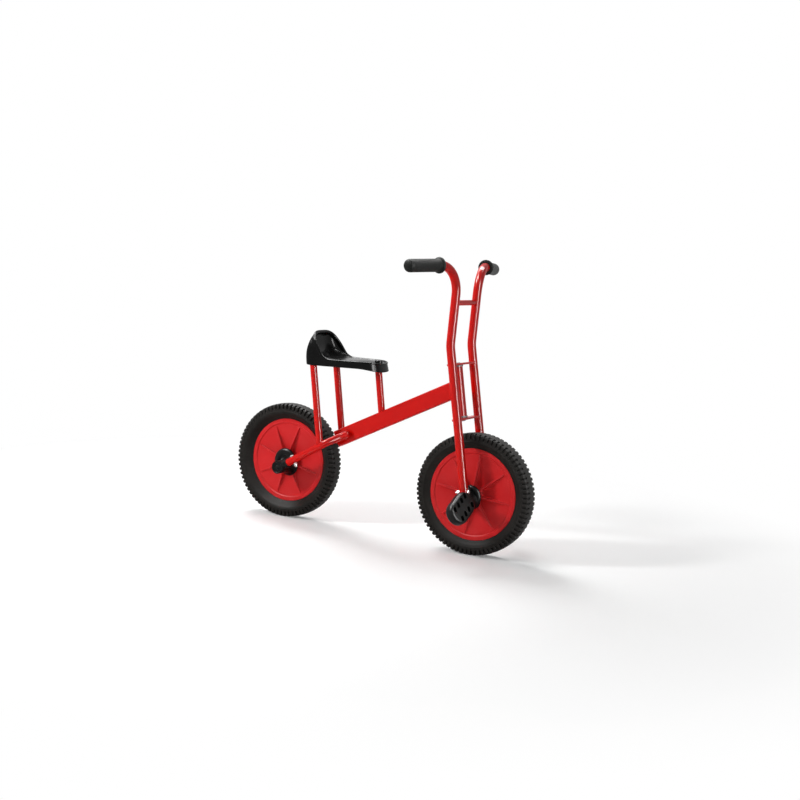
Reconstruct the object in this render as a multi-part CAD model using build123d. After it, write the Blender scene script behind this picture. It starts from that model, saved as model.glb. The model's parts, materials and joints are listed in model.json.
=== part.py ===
from build123d import *
from math import cos, radians, sin, tan
import os

# Kids bicycle: tubular steel frame and fork, two disc wheels, moulded seat, grips and foot rests.
# Built in a workshop frame: X forward, Y to the rider's left, Z up, the rear axle above the floor's
# zero point.  Every piece is moved at export so that the origin is the rider's place on the seat.

# ---------------------------------------------------------------- driving dimensions (mm, degrees)
WHEEL_BASE = 576.0
TYRE_RADIUS = 160.0
RIM_SEAT_DEPTH = 9.0            # how far the tyre reaches in under the rim's lip
TYRE_WIDTH = {"rear": 48.0, "front": 54.0}
RIM_RADIUS = {"rear": 115.0, "front": 121.0}
RIM_LIP_OFFSET = {"rear": 14.0, "front": 17.0}      # lip's outer face from the wheel's middle
RIB_PHASE = {"rear": 17.0, "front": 6.5}
RIM_LIP_WIDTH = 10.0
RIM_LIP_STEP = 3.0              # lip's outer face above the dished web beside it
RIM_LIP_DEPTH = 3.0
RIM_SEAT_TAPER = 2.0            # the tyre's seat is a little deeper in the middle
RIM_WEB_THICKNESS = 11.0        # beside the hub; the web is dished and grows towards the lip
RIM_HUB_RADIUS = 21.0
RIM_HUB_WIDTH = 48.0
RIB_COUNT = 8
RIB_THICKNESS = 4.0
RIB_END_HEIGHT = 1.5
RIB_RUNOUT = 4.0
RIB_LIP_GAP = 3.0
RIB_SHOULDER = 10.0             # full height of the ribs beside the hub
RIB_SETBACK = 6.0               # ribs lie this far inside the hub's face
HUB_FILLET = 5.0
TYRE_SHOULDER_DROP = 3.0
TYRE_SHOULDER_INSET = 3.0
TYRE_BULGE = 0.45               # widest place, as a share of the tyre's depth
TYRE_WALL_BOW = 1.2
TREAD_NOTCHES = 76              # cross notches on each shoulder
NOTCH_WIDTH = 5.0
NOTCH_DEPTH = 4.5
NOTCH_START = 12.0              # from the tyre's middle
NOTCH_REACH = 10.0              # down the side wall
AXLE_RADIUS = 6.0
RUNNING_FIT = 0.05

HEAD_ANGLE = 11.4               # steering axis and fork legs lean back from the vertical
FORK_LEAD = 17.0                # fork legs stand this far ahead of the steering axis
LEG_SPACING = 131.0
FORK_TUBE_RADIUS = 11.5
FORK_TUBE_WALL = 2.0
LEG_BEND_HEIGHT = 542.0
UPPER_LEG_LEAN = 1.2            # above the bend the tubes lean forward
LEG_BEND_RADIUS = 90.0
BAR_HEIGHT = 747.0              # where leg line and grip line would meet
BAR_BEND_RADIUS = 72.0
BAR_SWEEP = 12.6                # grips point back
BAR_DROP = 2.6                  # and slightly down
CROSSBAR_DROP = 96.0            # below the grip line
CROSSBAR_RADIUS = 7.0

GRIP_START = 141.0              # inner face of the flange from the middle plane
GRIP_LENGTH = 128.0
GRIP_RADIUS = 16.5
GRIP_FLANGE_RADIUS = 20.6
GRIP_FLANGE_WIDTH = 7.0
GRIP_FLANGE_EDGE = 3.0
GRIP_DOME = 9.0
GRIP_CAP = 6.0

CROWN_UPPER_HEIGHT = 493.5      # at the legs, above the floor
CROWN_LOWER_HEIGHT = 354.0
CROWN_THICKNESS = 5.0
CROWN_LENGTH = 46.0
CROWN_REAR = 30.0               # how far the plate reaches behind the legs
CROWN_CORNER = 4.0
HEAD_TUBE_RADIUS = 14.0
HEAD_TUBE_WALL = 2.5
BUSH_FLANGE_RADIUS = 15.5
BUSH_FLANGE_WIDTH = 4.0
BUSH_DEPTH = 14.0
STEERING_PIN_RADIUS = 8.0
PIN_HEAD_RADIUS = 12.0
PIN_HEAD_HEIGHT = 8.0
TURNING_GAP = 0.3
SEATED_GAP = 0.3                # between faces of pieces that only lie beside one another

BEAM_ANGLE = 28.1
BEAM_HEIGHT = 45.0
BEAM_WIDTH = 22.0
BEAM_WALL = 2.0
BEAM_CORNER = 5.0
BEAM_REAR_X = 154.5             # centre of the beam's rear end
BEAM_REAR_Z = 242.6

STAY_RADIUS = 10.0
STAY_WALL = 1.8
STAY_SPACING = 122.0
STAY_ANGLE = 32.0               # rise of the stay beside the wheel
STAY_BEND_X = 150.0             # where it turns in towards the beam
STAY_JOIN_X = 179.0             # where it comes alongside the beam
STAY_LAP = 14.0                 # length welded along the beam's side
STAY_BEND_RADIUS = 26.0

HOUSING_DRUM_RADIUS = {"rear": 31.5, "front": 31.0}
HOUSING_DRUM_DEPTH = 10.0
HOUSING_DRUM_ADVANCE = {"rear": 0.0, "front": 9.0}  # drum ahead of the axle
HOUSING_BOSS_RADIUS = 18.0
HOUSING_DROP = 12.0             # boss below the axle
HOUSING_ADVANCE = {"rear": 10.0, "front": 2.5}      # boss ahead of the axle
HOUSING_EDGE = 8.0
HOUSING_BOSS_EDGE = 2.5
HOUSING_RECESS_RADIUS = 12.0    # dished face of the rear boss
HOUSING_RECESS_DEPTH = 2.5
HOUSING_CAP_RADIUS = 7.0        # and the cap over the axle's end in it
HOUSING_COLLAR = 1.5            # moulded collar stands proud of its tube
HOUSING_FACE = 3.0              # and the boss's face beyond the tube's outer side
WHEEL_SIDE_GAP = 1.0
AXLE_END_COVER = 3.0            # drum material left beyond the axle
SPIGOT_LENGTH = 34.0
TUBE_END_GAP = {"rear": 11.0, "front": 0.5}         # tube's end beyond the boss
CLAMP_BOLT_RADIUS = 3.0
CLAMP_HEAD_RADIUS = 5.5
CLAMP_HEAD_HEIGHT = 3.5
CLAMP_NUT_HEIGHT = 8.0
CLAMP_THREAD_END = 4.5          # thread left beyond the nut
CLAMP_SETBACK = {"rear": 22.0, "front": 7.0}       # bolt from the tube's end

FOOTREST_LENGTH = 99.5
FOOTREST_WIDTH = 60.0
FOOTREST_THICKNESS = 26.0
FOOTREST_DROOP = 28.0           # outer end hangs lower
FOOTREST_TILT = 57.0            # tread face turned forward
FOOTREST_EDGE = 8.0
FOOTREST_AHEAD = 17.0           # block's middle ahead of the axle
FOOTREST_BELOW = 18.0           # and below it
FOOTREST_REACH = 43.0           # and outboard of the housing's boss
FOOTREST_SLOTS = 4
SLOT_LENGTH = 15.0
SLOT_WIDTH = 7.0
SLOT_DEPTH = 8.0
SLOT_PITCH = 19.5
SLOT_ROW_SPACING = 29.5
FOOTREST_NECK_RADIUS = 12.0
FOOTREST_NECK_SETBACK = 34.0    # neck meets the block's middle line this far from its inner end

POST_RADIUS = 9.5
POST_WALL = 1.8
POST_LEAN = 10.2
REAR_POST_SETBACK = 15.0        # post's top from the seat's back
FRONT_POST_SETBACK = 21.5       # post's top from the seat's nose

SEAT_HEIGHT = 465.0             # pan above the floor at the rider's place
SEAT_TILT = 2.2                 # nose up
SEAT_BACK_X = 77.0
SEAT_LENGTH = 204.0
SEAT_REAR_WIDTH = 150.0
SEAT_FRONT_WIDTH = 106.0
SEAT_REAR_CORNER = 20.0
SEAT_FRONT_CORNER = 38.0
SEAT_SKIRT = 16.0               # skirt's lower edge below the pan
SEAT_DISH = 3.0                 # pan's rim above its middle
SEAT_ROLL = 11.0                # rounding from pan to skirt
SEAT_WALL = 3.5
SEAT_RIM = 15.0                 # width of the rim round the dish
SEAT_BACK_HEIGHT = 75.0         # above the pan
SEAT_BACK_WIDTH = 118.0
SEAT_BACK_THICKNESS = 24.0
SEAT_BACK_TOP = 14.0            # top edge ahead of the lower edge
SEAT_BACK_TOP_WIDTH = 8.0
SEAT_BACK_BULGE = 4.0           # rear face behind the lower edge, at a third of its height
SEAT_WING_REACH = 76.0          # sides of the back run out on the pan
SEAT_WING_SLOPE = 58.0          # and fall this steeply
SEAT_HOLLOW_CORNER = 30.0
RIDER_X = 215.0                 # rider's place on the pan

# ---------------------------------------------------------------- derived places
AXLE_Z = TYRE_RADIUS
FRONT_AXLE_X = WHEEL_BASE
LEG_Y = LEG_SPACING / 2
STAY_Y = STAY_SPACING / 2
RIDER = Vector(RIDER_X, 0, SEAT_HEIGHT)

HEAD_UP = Vector(-sin(radians(HEAD_ANGLE)), 0, cos(radians(HEAD_ANGLE)))
HEAD_FORWARD = Vector(cos(radians(HEAD_ANGLE)), 0, sin(radians(HEAD_ANGLE)))
FRONT_AXLE = Vector(FRONT_AXLE_X, 0, AXLE_Z)
REAR_AXLE = Vector(0, 0, AXLE_Z)
STEERING_FOOT = FRONT_AXLE - HEAD_FORWARD * FORK_LEAD
BEAM_DIRECTION = Vector(cos(radians(BEAM_ANGLE)), 0, sin(radians(BEAM_ANGLE)))
STAY_DIRECTION = Vector(cos(radians(STAY_ANGLE)), 0, sin(radians(STAY_ANGLE)))
SEAT_PLACE = Plane(origin=RIDER, x_dir=(cos(radians(SEAT_TILT)), 0, sin(radians(SEAT_TILT))),
                   z_dir=(-sin(radians(SEAT_TILT)), 0, cos(radians(SEAT_TILT))))
SEAT_START = SEAT_BACK_X - RIDER_X      # back and nose, measured along the tilted pan
SEAT_END = SEAT_START + SEAT_LENGTH
REAR_POST = SEAT_START + REAR_POST_SETBACK
FRONT_POST = SEAT_END - FRONT_POST_SETBACK
POST_UP = Vector(-sin(radians(POST_LEAN)), 0, cos(radians(POST_LEAN)))


def on_leg(height):
    """Point of the fork legs' middle line at a height above the floor."""
    return FRONT_AXLE + HEAD_UP * ((height - AXLE_Z) / HEAD_UP.Z)


def bent_bar(points, radii, radius):
    """Solid round bar along straight runs joined by arcs."""
    path = FilletPolyline(*points, radius=radii)
    return sweep(Plane(origin=path @ 0, z_dir=path % 0) * Circle(radius), path=path)


def bent_tube(points, radii, radius, wall):
    """Round tube along straight runs joined by arcs."""
    path = FilletPolyline(*points, radius=radii)
    ring = Circle(radius) - Circle(radius - wall)
    return sweep(Plane(origin=path @ 0, z_dir=path % 0) * ring, path=path)


def rod(start, end, radius):
    """Solid round bar between two points."""
    line = end - start
    return Plane(origin=start, z_dir=line) * extrude(Circle(radius), line.length)


def both_sides(right):
    """The right-hand piece and its mirror image on the left."""
    return {"right": right, "left": mirror(right, about=Plane.XZ)}


# ---------------------------------------------------------------- wheels
def rim_outline(which):
    """Half section of the rim: points of (side offset, radius)."""
    lip, radius = RIM_LIP_OFFSET[which], RIM_RADIUS[which]
    web, hub = RIM_WEB_THICKNESS / 2, RIM_HUB_WIDTH / 2
    seat, inside = radius - RIM_SEAT_DEPTH, lip - RIM_LIP_DEPTH
    bore, dish = AXLE_RADIUS + RUNNING_FIT, radius - RIM_LIP_WIDTH
    return [(0, bore), (hub, bore), (hub, RIM_HUB_RADIUS), (web, RIM_HUB_RADIUS + HUB_FILLET),
            (lip - RIM_LIP_STEP, dish - RIM_LIP_STEP), (lip, dish), (lip, radius), (inside, radius),
            (inside, seat + RIM_SEAT_TAPER), (0, seat)]


def rim(which):
    """Moulded disc with a lip, a hub and ribs on both sides."""
    half = rim_outline(which)
    other = [(-y, r) for y, r in reversed(half)]
    disc = revolve(Plane.YZ * make_face(Polyline(*half, *other[1:], close=True)), Axis.Y)
    end, web = RIM_RADIUS[which] - RIM_LIP_WIDTH - RIM_LIP_STEP - RIB_LIP_GAP, RIM_WEB_THICKNESS / 2
    start, shoulder = RIM_HUB_RADIUS - RIB_THICKNESS / 2, RIM_HUB_RADIUS + RIB_SHOULDER
    tall, low = RIM_HUB_WIDTH / 2 - RIB_SETBACK, RIM_LIP_OFFSET[which] - RIM_LIP_STEP + RIB_END_HEIGHT
    rib = make_face(Polyline((start, -tall), (shoulder, -tall), (end, -low), (end + RIB_RUNOUT, -web),
                             (end + RIB_RUNOUT, web), (end, low), (shoulder, tall), (start, tall),
                             close=True))
    blade = extrude(rib, RIB_THICKNESS / 2, both=True)
    ribs = [Rot(Y=RIB_PHASE[which] + turn * 360 / RIB_COUNT) * blade for turn in range(RIB_COUNT)]
    return disc + ribs


def tyre(which):
    """Solid rubber tyre, seated on the rim between its lips."""
    lip, radius, half = RIM_LIP_OFFSET[which], RIM_RADIUS[which], TYRE_WIDTH[which] / 2
    seat, inside = radius - RIM_SEAT_DEPTH, lip - RIM_LIP_DEPTH
    bulge = radius + (TYRE_RADIUS - radius) * TYRE_BULGE
    shoulder, edge = TYRE_RADIUS - TYRE_SHOULDER_DROP, half - TYRE_SHOULDER_INSET
    crown = ThreePointArc((edge, shoulder), (0, TYRE_RADIUS), (-edge, shoulder))
    outline = [crown]
    for side in (-1, 1):
        wall_bow = (side * (half - TYRE_WALL_BOW), (radius + bulge) / 2)
        outline.append(ThreePointArc((side * lip, radius), wall_bow, (side * half, bulge)))
        shoulder_bow = (side * (half - TYRE_WALL_BOW), (bulge + shoulder) / 2)
        outline.append(ThreePointArc((side * half, bulge), shoulder_bow, (side * edge, shoulder)))
    outline.append(Polyline((-lip, radius), (-inside, radius), (-inside, seat + RIM_SEAT_TAPER), (0, seat),
                            (inside, seat + RIM_SEAT_TAPER), (inside, radius), (lip, radius)))
    return revolve(Plane.YZ * make_face(outline), Axis.Y) - tread_notches(which)


def tread_notches(which):
    """Cutters for the cross notches that run over both shoulders and down the side walls."""
    half, shoulder = TYRE_WIDTH[which] / 2, TYRE_RADIUS - TYRE_SHOULDER_DROP
    clear = NOTCH_DEPTH
    section = [(NOTCH_START, TYRE_RADIUS + clear), (NOTCH_START, TYRE_RADIUS),
               (half - NOTCH_DEPTH, shoulder - NOTCH_DEPTH), (half + clear, shoulder - NOTCH_REACH),
               (half + clear, TYRE_RADIUS + clear)]
    left = extrude(Plane.YZ * make_face(Polyline(*section, close=True)), NOTCH_WIDTH / 2, both=True)
    pair = [left, mirror(left, about=Plane.XZ)]
    turns = [Rot(Y=turn * 360 / TREAD_NOTCHES) for turn in range(TREAD_NOTCHES)]
    return [turn * notch for turn in turns for notch in pair]


# ---------------------------------------------------------------- fork
def grip_direction(side):
    """Unit vector along the grip, outwards."""
    sweep_back, drop = radians(BAR_SWEEP), radians(BAR_DROP)
    return Vector(-sin(sweep_back) * cos(drop), side * cos(sweep_back) * cos(drop), -sin(drop))


def fork_points(side):
    """Middle line of one fork tube, from the axle up and out to the grip's end."""
    foot = FRONT_AXLE + HEAD_UP * FORK_TUBE_END + Vector(0, side * LEG_Y, 0)
    bend = on_leg(LEG_BEND_HEIGHT) + Vector(0, side * LEG_Y, 0)
    rise = BAR_HEIGHT - LEG_BEND_HEIGHT
    corner = bend + Vector(rise * tan(radians(UPPER_LEG_LEAN)), 0, rise)
    out = grip_direction(side)
    tip = corner + out * ((GRIP_START - LEG_Y) / abs(out.Y) + GRIP_LENGTH - GRIP_CAP)
    return foot, bend, corner, tip


def fork_tube(side):
    foot, bend, corner, tip = fork_points(side)
    radii = [LEG_BEND_RADIUS, BAR_BEND_RADIUS]
    return bent_tube([foot, bend, corner, tip], radii, FORK_TUBE_RADIUS, FORK_TUBE_WALL)


def grip(side):
    """Moulded grip with an inner flange and a domed end."""
    corner, out = fork_points(side)[2], grip_direction(side)
    start = corner + out * ((GRIP_START - LEG_Y) / abs(out.Y))
    body, full = GRIP_RADIUS, GRIP_LENGTH
    half = make_face(Polyline((0, 0), (GRIP_FLANGE_RADIUS, 0), (GRIP_FLANGE_RADIUS, GRIP_FLANGE_WIDTH),
                              (body, GRIP_FLANGE_WIDTH), (body, full), (0, full), close=True))
    half = fillet(half.vertices().sort_by_distance((body, full))[0], GRIP_DOME)
    half = fillet(half.vertices().sort_by_distance((GRIP_FLANGE_RADIUS, GRIP_FLANGE_WIDTH))[0], GRIP_FLANGE_EDGE)
    blank = revolve(Plane.XZ * half, Axis.Z)
    return Plane(origin=start, z_dir=out) * (blank - extrude(Circle(FORK_TUBE_RADIUS), full - GRIP_CAP))


def crossbar():
    """Round brace between the two fork tubes."""
    lean = Vector(tan(radians(UPPER_LEG_LEAN)), 0, 1)
    middle = on_leg(LEG_BEND_HEIGHT) + lean * (BAR_HEIGHT - CROSSBAR_DROP - LEG_BEND_HEIGHT)
    offset = Vector(0, LEG_Y, 0)
    bar = rod(middle - offset, middle + offset, CROSSBAR_RADIUS)
    reach = lean * (2 * CROSSBAR_RADIUS)
    for leg in (middle - offset, middle + offset):
        bar = bar - rod(leg - reach, leg + reach, FORK_TUBE_RADIUS)
    return bar


def crown_plate(height):
    """Flat plate through which the steering pin passes, notched round the fork legs."""
    centre = on_leg(height)
    place = Plane(origin=centre, x_dir=HEAD_FORWARD, z_dir=HEAD_UP)
    plate = Pos(CROWN_LENGTH / 2 - CROWN_REAR, 0) * RectangleRounded(CROWN_LENGTH, LEG_SPACING, CROWN_CORNER)
    holes = Pos(0, LEG_Y) * Circle(FORK_TUBE_RADIUS) + Pos(0, -LEG_Y) * Circle(FORK_TUBE_RADIUS)
    bore = Pos(-FORK_LEAD, 0) * Circle(STEERING_PIN_RADIUS)
    return place * extrude(plate - holes - bore, CROWN_THICKNESS / 2, both=True)


def steering_point(height):
    """Point of the steering axis level with a crown plate."""
    return on_leg(height) - HEAD_FORWARD * FORK_LEAD


def steering_pin():
    """Headed pin through both crown plates and the head tube."""
    top = steering_point(CROWN_UPPER_HEIGHT) + HEAD_UP * (CROWN_THICKNESS / 2)
    bottom = steering_point(CROWN_LOWER_HEIGHT) - HEAD_UP * (CROWN_THICKNESS / 2)
    shank = rod(bottom, top, STEERING_PIN_RADIUS)
    head = rod(top, top + HEAD_UP * PIN_HEAD_HEIGHT, PIN_HEAD_RADIUS)
    nut = rod(bottom - HEAD_UP * PIN_HEAD_HEIGHT, bottom, PIN_HEAD_RADIUS)
    return shank + head + nut


def head_span():
    """Lower and upper end of the head tube with its bushes, between the crown plates."""
    gap = CROWN_THICKNESS / 2 + TURNING_GAP
    low = steering_point(CROWN_LOWER_HEIGHT) + HEAD_UP * gap
    high = steering_point(CROWN_UPPER_HEIGHT) - HEAD_UP * gap
    return low, high


def head_tube():
    low, high = head_span()
    low, high = low + HEAD_UP * BUSH_FLANGE_WIDTH, high - HEAD_UP * BUSH_FLANGE_WIDTH
    return rod(low, high, HEAD_TUBE_RADIUS) - rod(low, high, HEAD_TUBE_RADIUS - HEAD_TUBE_WALL)


def bush(end, inwards):
    """Flanged plastic bush pressed into one end of the head tube."""
    flange = rod(end, end + inwards * BUSH_FLANGE_WIDTH, BUSH_FLANGE_RADIUS)
    sleeve = rod(end, end + inwards * (BUSH_FLANGE_WIDTH + BUSH_DEPTH), HEAD_TUBE_RADIUS - HEAD_TUBE_WALL)
    bore = rod(end, end + inwards * (BUSH_FLANGE_WIDTH + BUSH_DEPTH), STEERING_PIN_RADIUS + RUNNING_FIT)
    return flange + sleeve - bore


# ---------------------------------------------------------------- axle ends
DRUM_INNER = RIM_HUB_WIDTH / 2 + WHEEL_SIDE_GAP
AXLE_END = DRUM_INNER + HOUSING_DRUM_DEPTH - AXLE_END_COVER
BOSS_OUTER = {"rear": STAY_Y + STAY_RADIUS + HOUSING_FACE, "front": LEG_Y + FORK_TUBE_RADIUS + HOUSING_FACE}
FORK_TUBE_END = HOUSING_BOSS_RADIUS - HOUSING_DROP + TUBE_END_GAP["front"]
STAY_START = HOUSING_BOSS_RADIUS + TUBE_END_GAP["rear"]


def boss_centre(which):
    """Side-view place of the outer boss, below and ahead of the axle."""
    axle = FRONT_AXLE if which == "front" else REAR_AXLE
    return axle + Vector(HOUSING_ADVANCE[which], 0, -HOUSING_DROP)


def tube_seat(which):
    """End, direction, radius and wall of the tube that a right-hand housing carries."""
    if which == "front":
        return fork_points(-1)[0], HEAD_UP, FORK_TUBE_RADIUS, FORK_TUBE_WALL
    return stay_points()[0], STAY_DIRECTION, STAY_RADIUS, STAY_WALL


def rounded_disc(radius, depth, edge):
    """Disc on the XY plane whose upper edge is rounded."""
    half = make_face(Polyline((0, 0), (radius, 0), (radius, depth), (0, depth), close=True))
    half = fillet(half.vertices().sort_by_distance((radius, depth))[0], edge)
    return revolve(Plane.XZ * half, Axis.Z)


def housing(which):
    """Right-hand axle housing: drum on the axle, dropped boss, collar and spigot for the tube."""
    axle = FRONT_AXLE if which == "front" else REAR_AXLE
    tube_end, way, radius, wall = tube_seat(which)
    right = Vector(0, -1, 0)
    outer = BOSS_OUTER[which]
    drum_foot = axle + Vector(HOUSING_DRUM_ADVANCE[which], -DRUM_INNER, 0)
    drum = Plane(origin=drum_foot, z_dir=right) * rounded_disc(
        HOUSING_DRUM_RADIUS[which], HOUSING_DRUM_DEPTH, HOUSING_EDGE)
    boss = Plane(origin=boss_centre(which) + right * DRUM_INNER, z_dir=right) * rounded_disc(
        HOUSING_BOSS_RADIUS, outer - DRUM_INNER, HOUSING_BOSS_EDGE)
    collar_foot = boss_centre(which) + Vector(0, tube_end.Y, 0)
    collar = rod(collar_foot, tube_end, radius + HOUSING_COLLAR)
    spigot = rod(tube_end, tube_end + way * SPIGOT_LENGTH, radius - wall)
    bore = rod(axle + right * DRUM_INNER, axle + right * AXLE_END, AXLE_RADIUS)
    beyond = rod(tube_end, tube_end + way * SPIGOT_LENGTH, radius + SEATED_GAP)
    body = drum + boss + collar - beyond + spigot - bore
    if which == "front":
        return body
    face = boss_centre(which) + right * outer
    recess = Circle(HOUSING_RECESS_RADIUS) - Circle(HOUSING_CAP_RADIUS)
    return body - Plane(origin=face, z_dir=right) * extrude(recess, -HOUSING_RECESS_DEPTH)


def clamp_bolt(which):
    """Through bolt across the tube in side view: head above, nut and thread end below."""
    tube_end, way, radius, wall = tube_seat(which)
    centre = tube_end + way * CLAMP_SETBACK[which]
    across = Vector(-way.Z, 0, way.X)
    if which == "front":
        across = across * -1
    top, bottom = centre + across * radius, centre - across * radius
    under = bottom - across * CLAMP_NUT_HEIGHT
    shank = rod(under - across * CLAMP_THREAD_END, top, CLAMP_BOLT_RADIUS)
    head = rod(top, top + across * CLAMP_HEAD_HEIGHT, CLAMP_HEAD_RADIUS)
    return shank + head + rod(under, bottom, CLAMP_HEAD_RADIUS)


def foot_rest():
    """Right-hand slotted foot rest: a round-ended block on a neck from the front housing's boss."""
    face = boss_centre("front") - Vector(0, BOSS_OUTER["front"], 0)
    middle = FRONT_AXLE + Vector(FOOTREST_AHEAD, -BOSS_OUTER["front"] - FOOTREST_REACH, -FOOTREST_BELOW)
    out = Vector(0, -cos(radians(FOOTREST_DROOP)), -sin(radians(FOOTREST_DROOP)))
    across = Vector(cos(radians(FOOTREST_TILT)), 0, -sin(radians(FOOTREST_TILT)))
    across = across - out * across.dot(out)
    block = extrude(SlotOverall(FOOTREST_LENGTH, FOOTREST_WIDTH), FOOTREST_THICKNESS / 2, both=True)
    block = fillet(block.faces().filter_by(Axis.Z).edges(), FOOTREST_EDGE)
    slots = []
    for side in (-1, 1):
        for row in (-1, 1):
            for step in range(FOOTREST_SLOTS):
                along = (step - (FOOTREST_SLOTS - 1) / 2) * SLOT_PITCH
                slots.append(Pos(along, row * SLOT_ROW_SPACING / 2, side * FOOTREST_THICKNESS / 2)
                             * Box(SLOT_WIDTH, SLOT_LENGTH, 2 * SLOT_DEPTH))
    block = Plane(origin=middle, x_dir=out, z_dir=out.cross(across)) * (block - slots)
    neck = rod(face, middle - out * (FOOTREST_LENGTH / 2 - FOOTREST_NECK_SETBACK), FOOTREST_NECK_RADIUS)
    inboard = Pos(face) * Box(FOOTREST_LENGTH, FOOTREST_WIDTH, FOOTREST_LENGTH,
                              align=(Align.CENTER, Align.MIN, Align.CENTER))
    return block + neck - inboard


# ---------------------------------------------------------------- frame
def stay_points():
    """Middle line of the right-hand stay, from its housing to the lap on the beam."""
    centre = boss_centre("rear") - Vector(0, STAY_Y, 0)
    start = centre + STAY_DIRECTION * STAY_START
    bend = centre + STAY_DIRECTION * ((STAY_BEND_X - centre.X) / STAY_DIRECTION.X)
    side = -(BEAM_WIDTH / 2 + STAY_RADIUS)
    reach = (STAY_JOIN_X - BEAM_REAR_X) / BEAM_DIRECTION.X
    join = Vector(BEAM_REAR_X, side, BEAM_REAR_Z) + BEAM_DIRECTION * reach
    end = join + BEAM_DIRECTION * STAY_LAP
    return start, bend, join, end


def stay():
    """Round tube with a rounded, closed front end."""
    points = stay_points()
    bent = bent_tube(points, [STAY_BEND_RADIUS] * 2, STAY_RADIUS, STAY_WALL)
    return bent + Pos(points[-1]) * Sphere(STAY_RADIUS)


def beam_outer():
    """Outside of the main beam, run on to the steering axis."""
    rear = Vector(BEAM_REAR_X, 0, BEAM_REAR_Z)
    place = Plane(origin=rear, x_dir=(0, 1, 0), z_dir=BEAM_DIRECTION)
    run = (STEERING_FOOT.X - BEAM_REAR_X) / BEAM_DIRECTION.X
    return place, run


def main_beam():
    """Rounded rectangular tube with a closed rear end, coped to the head tube."""
    place, run = beam_outer()
    outer = RectangleRounded(BEAM_WIDTH, BEAM_HEIGHT, BEAM_CORNER)
    inner = RectangleRounded(BEAM_WIDTH - 2 * BEAM_WALL, BEAM_HEIGHT - 2 * BEAM_WALL, BEAM_CORNER - BEAM_WALL)
    solid = place * extrude(outer, run) - place * Pos(Z=BEAM_WALL) * extrude(inner, run)
    low, high = head_span()
    reach = HEAD_UP * BEAM_HEIGHT
    cope = rod(low - reach, high + reach, HEAD_TUBE_RADIUS)
    ahead = Plane(origin=(low + high) / 2, x_dir=(0, 1, 0), z_dir=HEAD_FORWARD) * extrude(
        Rectangle(2 * BEAM_WIDTH, 2 * (high - low).length), run)
    return solid - cope - ahead


def under_pan(along, side, length, radius):
    """Round bar with the posts' lean that ends at the pan's underside."""
    top = SEAT_PLACE.from_local_coords(Vector(along, side, -SEAT_WALL))
    above = SEAT_PLACE * Pos(along, side, -SEAT_WALL) * Box(
        4 * radius, 4 * radius, 4 * radius, align=(Align.CENTER, Align.CENTER, Align.MIN))
    return rod(top - POST_UP * length, top + POST_UP * (2 * radius), radius) - above


def seat_post(along, side, foot_height):
    """Round post from inside the tube that carries it up to the underside of the pan."""
    length = (SEAT_PLACE.from_local_coords(Vector(along, side, -SEAT_WALL)).Z - foot_height) / POST_UP.Z
    return under_pan(along, side, length, POST_RADIUS) - under_pan(along, side, length, POST_RADIUS - POST_WALL)


def rear_post():
    """Right-hand post, coped to the top of the stay."""
    under = bent_bar(stay_points(), [STAY_BEND_RADIUS] * 2, STAY_RADIUS)
    foot = boss_centre("rear").Z + (SEAT_BACK_X + REAR_POST_SETBACK) * tan(radians(STAY_ANGLE))
    post = seat_post(REAR_POST, -STAY_Y, foot) - under
    return post.solids().sort_by(Axis.Z)[-1]


def front_post():
    """Middle post, coped to the top of the beam."""
    place, run = beam_outer()
    under = place * extrude(RectangleRounded(BEAM_WIDTH, BEAM_HEIGHT, BEAM_CORNER), run)
    foot = BEAM_REAR_Z + (SEAT_BACK_X + SEAT_LENGTH - BEAM_REAR_X) * tan(radians(BEAM_ANGLE))
    post = seat_post(FRONT_POST, 0, foot) - under
    return post.solids().sort_by(Axis.Z)[-1]


# ---------------------------------------------------------------- seat
def seat_plan(inset):
    """Plan of the seat on the pan's plane, wide at the back, drawn in by an inset."""
    rear, front = SEAT_REAR_WIDTH / 2 - inset, SEAT_FRONT_WIDTH / 2 - inset
    start, end = SEAT_START + inset, SEAT_END - inset
    face = make_face(Polyline((start, -rear), (end, -front), (end, front), (start, rear), close=True))
    face = fillet(face.vertices().group_by(Axis.X)[0], SEAT_REAR_CORNER - inset)
    return fillet(face.vertices().group_by(Axis.X)[-1], SEAT_FRONT_CORNER - inset)


def seat_base():
    """Skirt and pan in one, with the upper edge rolled over."""
    block = Pos(Z=-SEAT_SKIRT) * extrude(seat_plan(0), SEAT_SKIRT + SEAT_DISH)
    return fillet(block.faces().sort_by(Axis.Z)[-1].edges(), SEAT_ROLL)


def seat_back():
    """Back that rises in an arch, its sides falling forward to the pan."""
    top, bulge = SEAT_START + SEAT_BACK_TOP, SEAT_START - SEAT_BACK_BULGE
    wing_foot = SEAT_START + SEAT_WING_REACH
    slope = (cos(radians(SEAT_WING_SLOPE)), -sin(radians(SEAT_WING_SLOPE)))
    rear = ThreePointArc((SEAT_START, -SEAT_SKIRT), (bulge, SEAT_BACK_HEIGHT / 3), (top, SEAT_BACK_HEIGHT))
    wing = Spline((top + SEAT_BACK_TOP_WIDTH, SEAT_BACK_HEIGHT), (wing_foot, SEAT_DISH),
                  tangents=[slope, (1, 0)])
    rest = Polyline((wing_foot, SEAT_DISH), (wing_foot, -SEAT_SKIRT), (SEAT_START, -SEAT_SKIRT))
    lid = Line((top, SEAT_BACK_HEIGHT), (top + SEAT_BACK_TOP_WIDTH, SEAT_BACK_HEIGHT))
    profile = extrude(Plane.XZ * make_face([rear, lid, wing, rest]), SEAT_REAR_WIDTH / 2, both=True)
    half = SEAT_BACK_WIDTH / 2
    crown = EllipticalCenterArc((0, 0), half, SEAT_BACK_HEIGHT, start_angle=0, arc_size=180)
    arch = make_face([crown, Polyline((-half, 0), (-half, -SEAT_SKIRT), (half, -SEAT_SKIRT), (half, 0))])
    return profile & extrude(Plane.YZ * arch, SEAT_LENGTH, both=True)


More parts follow.
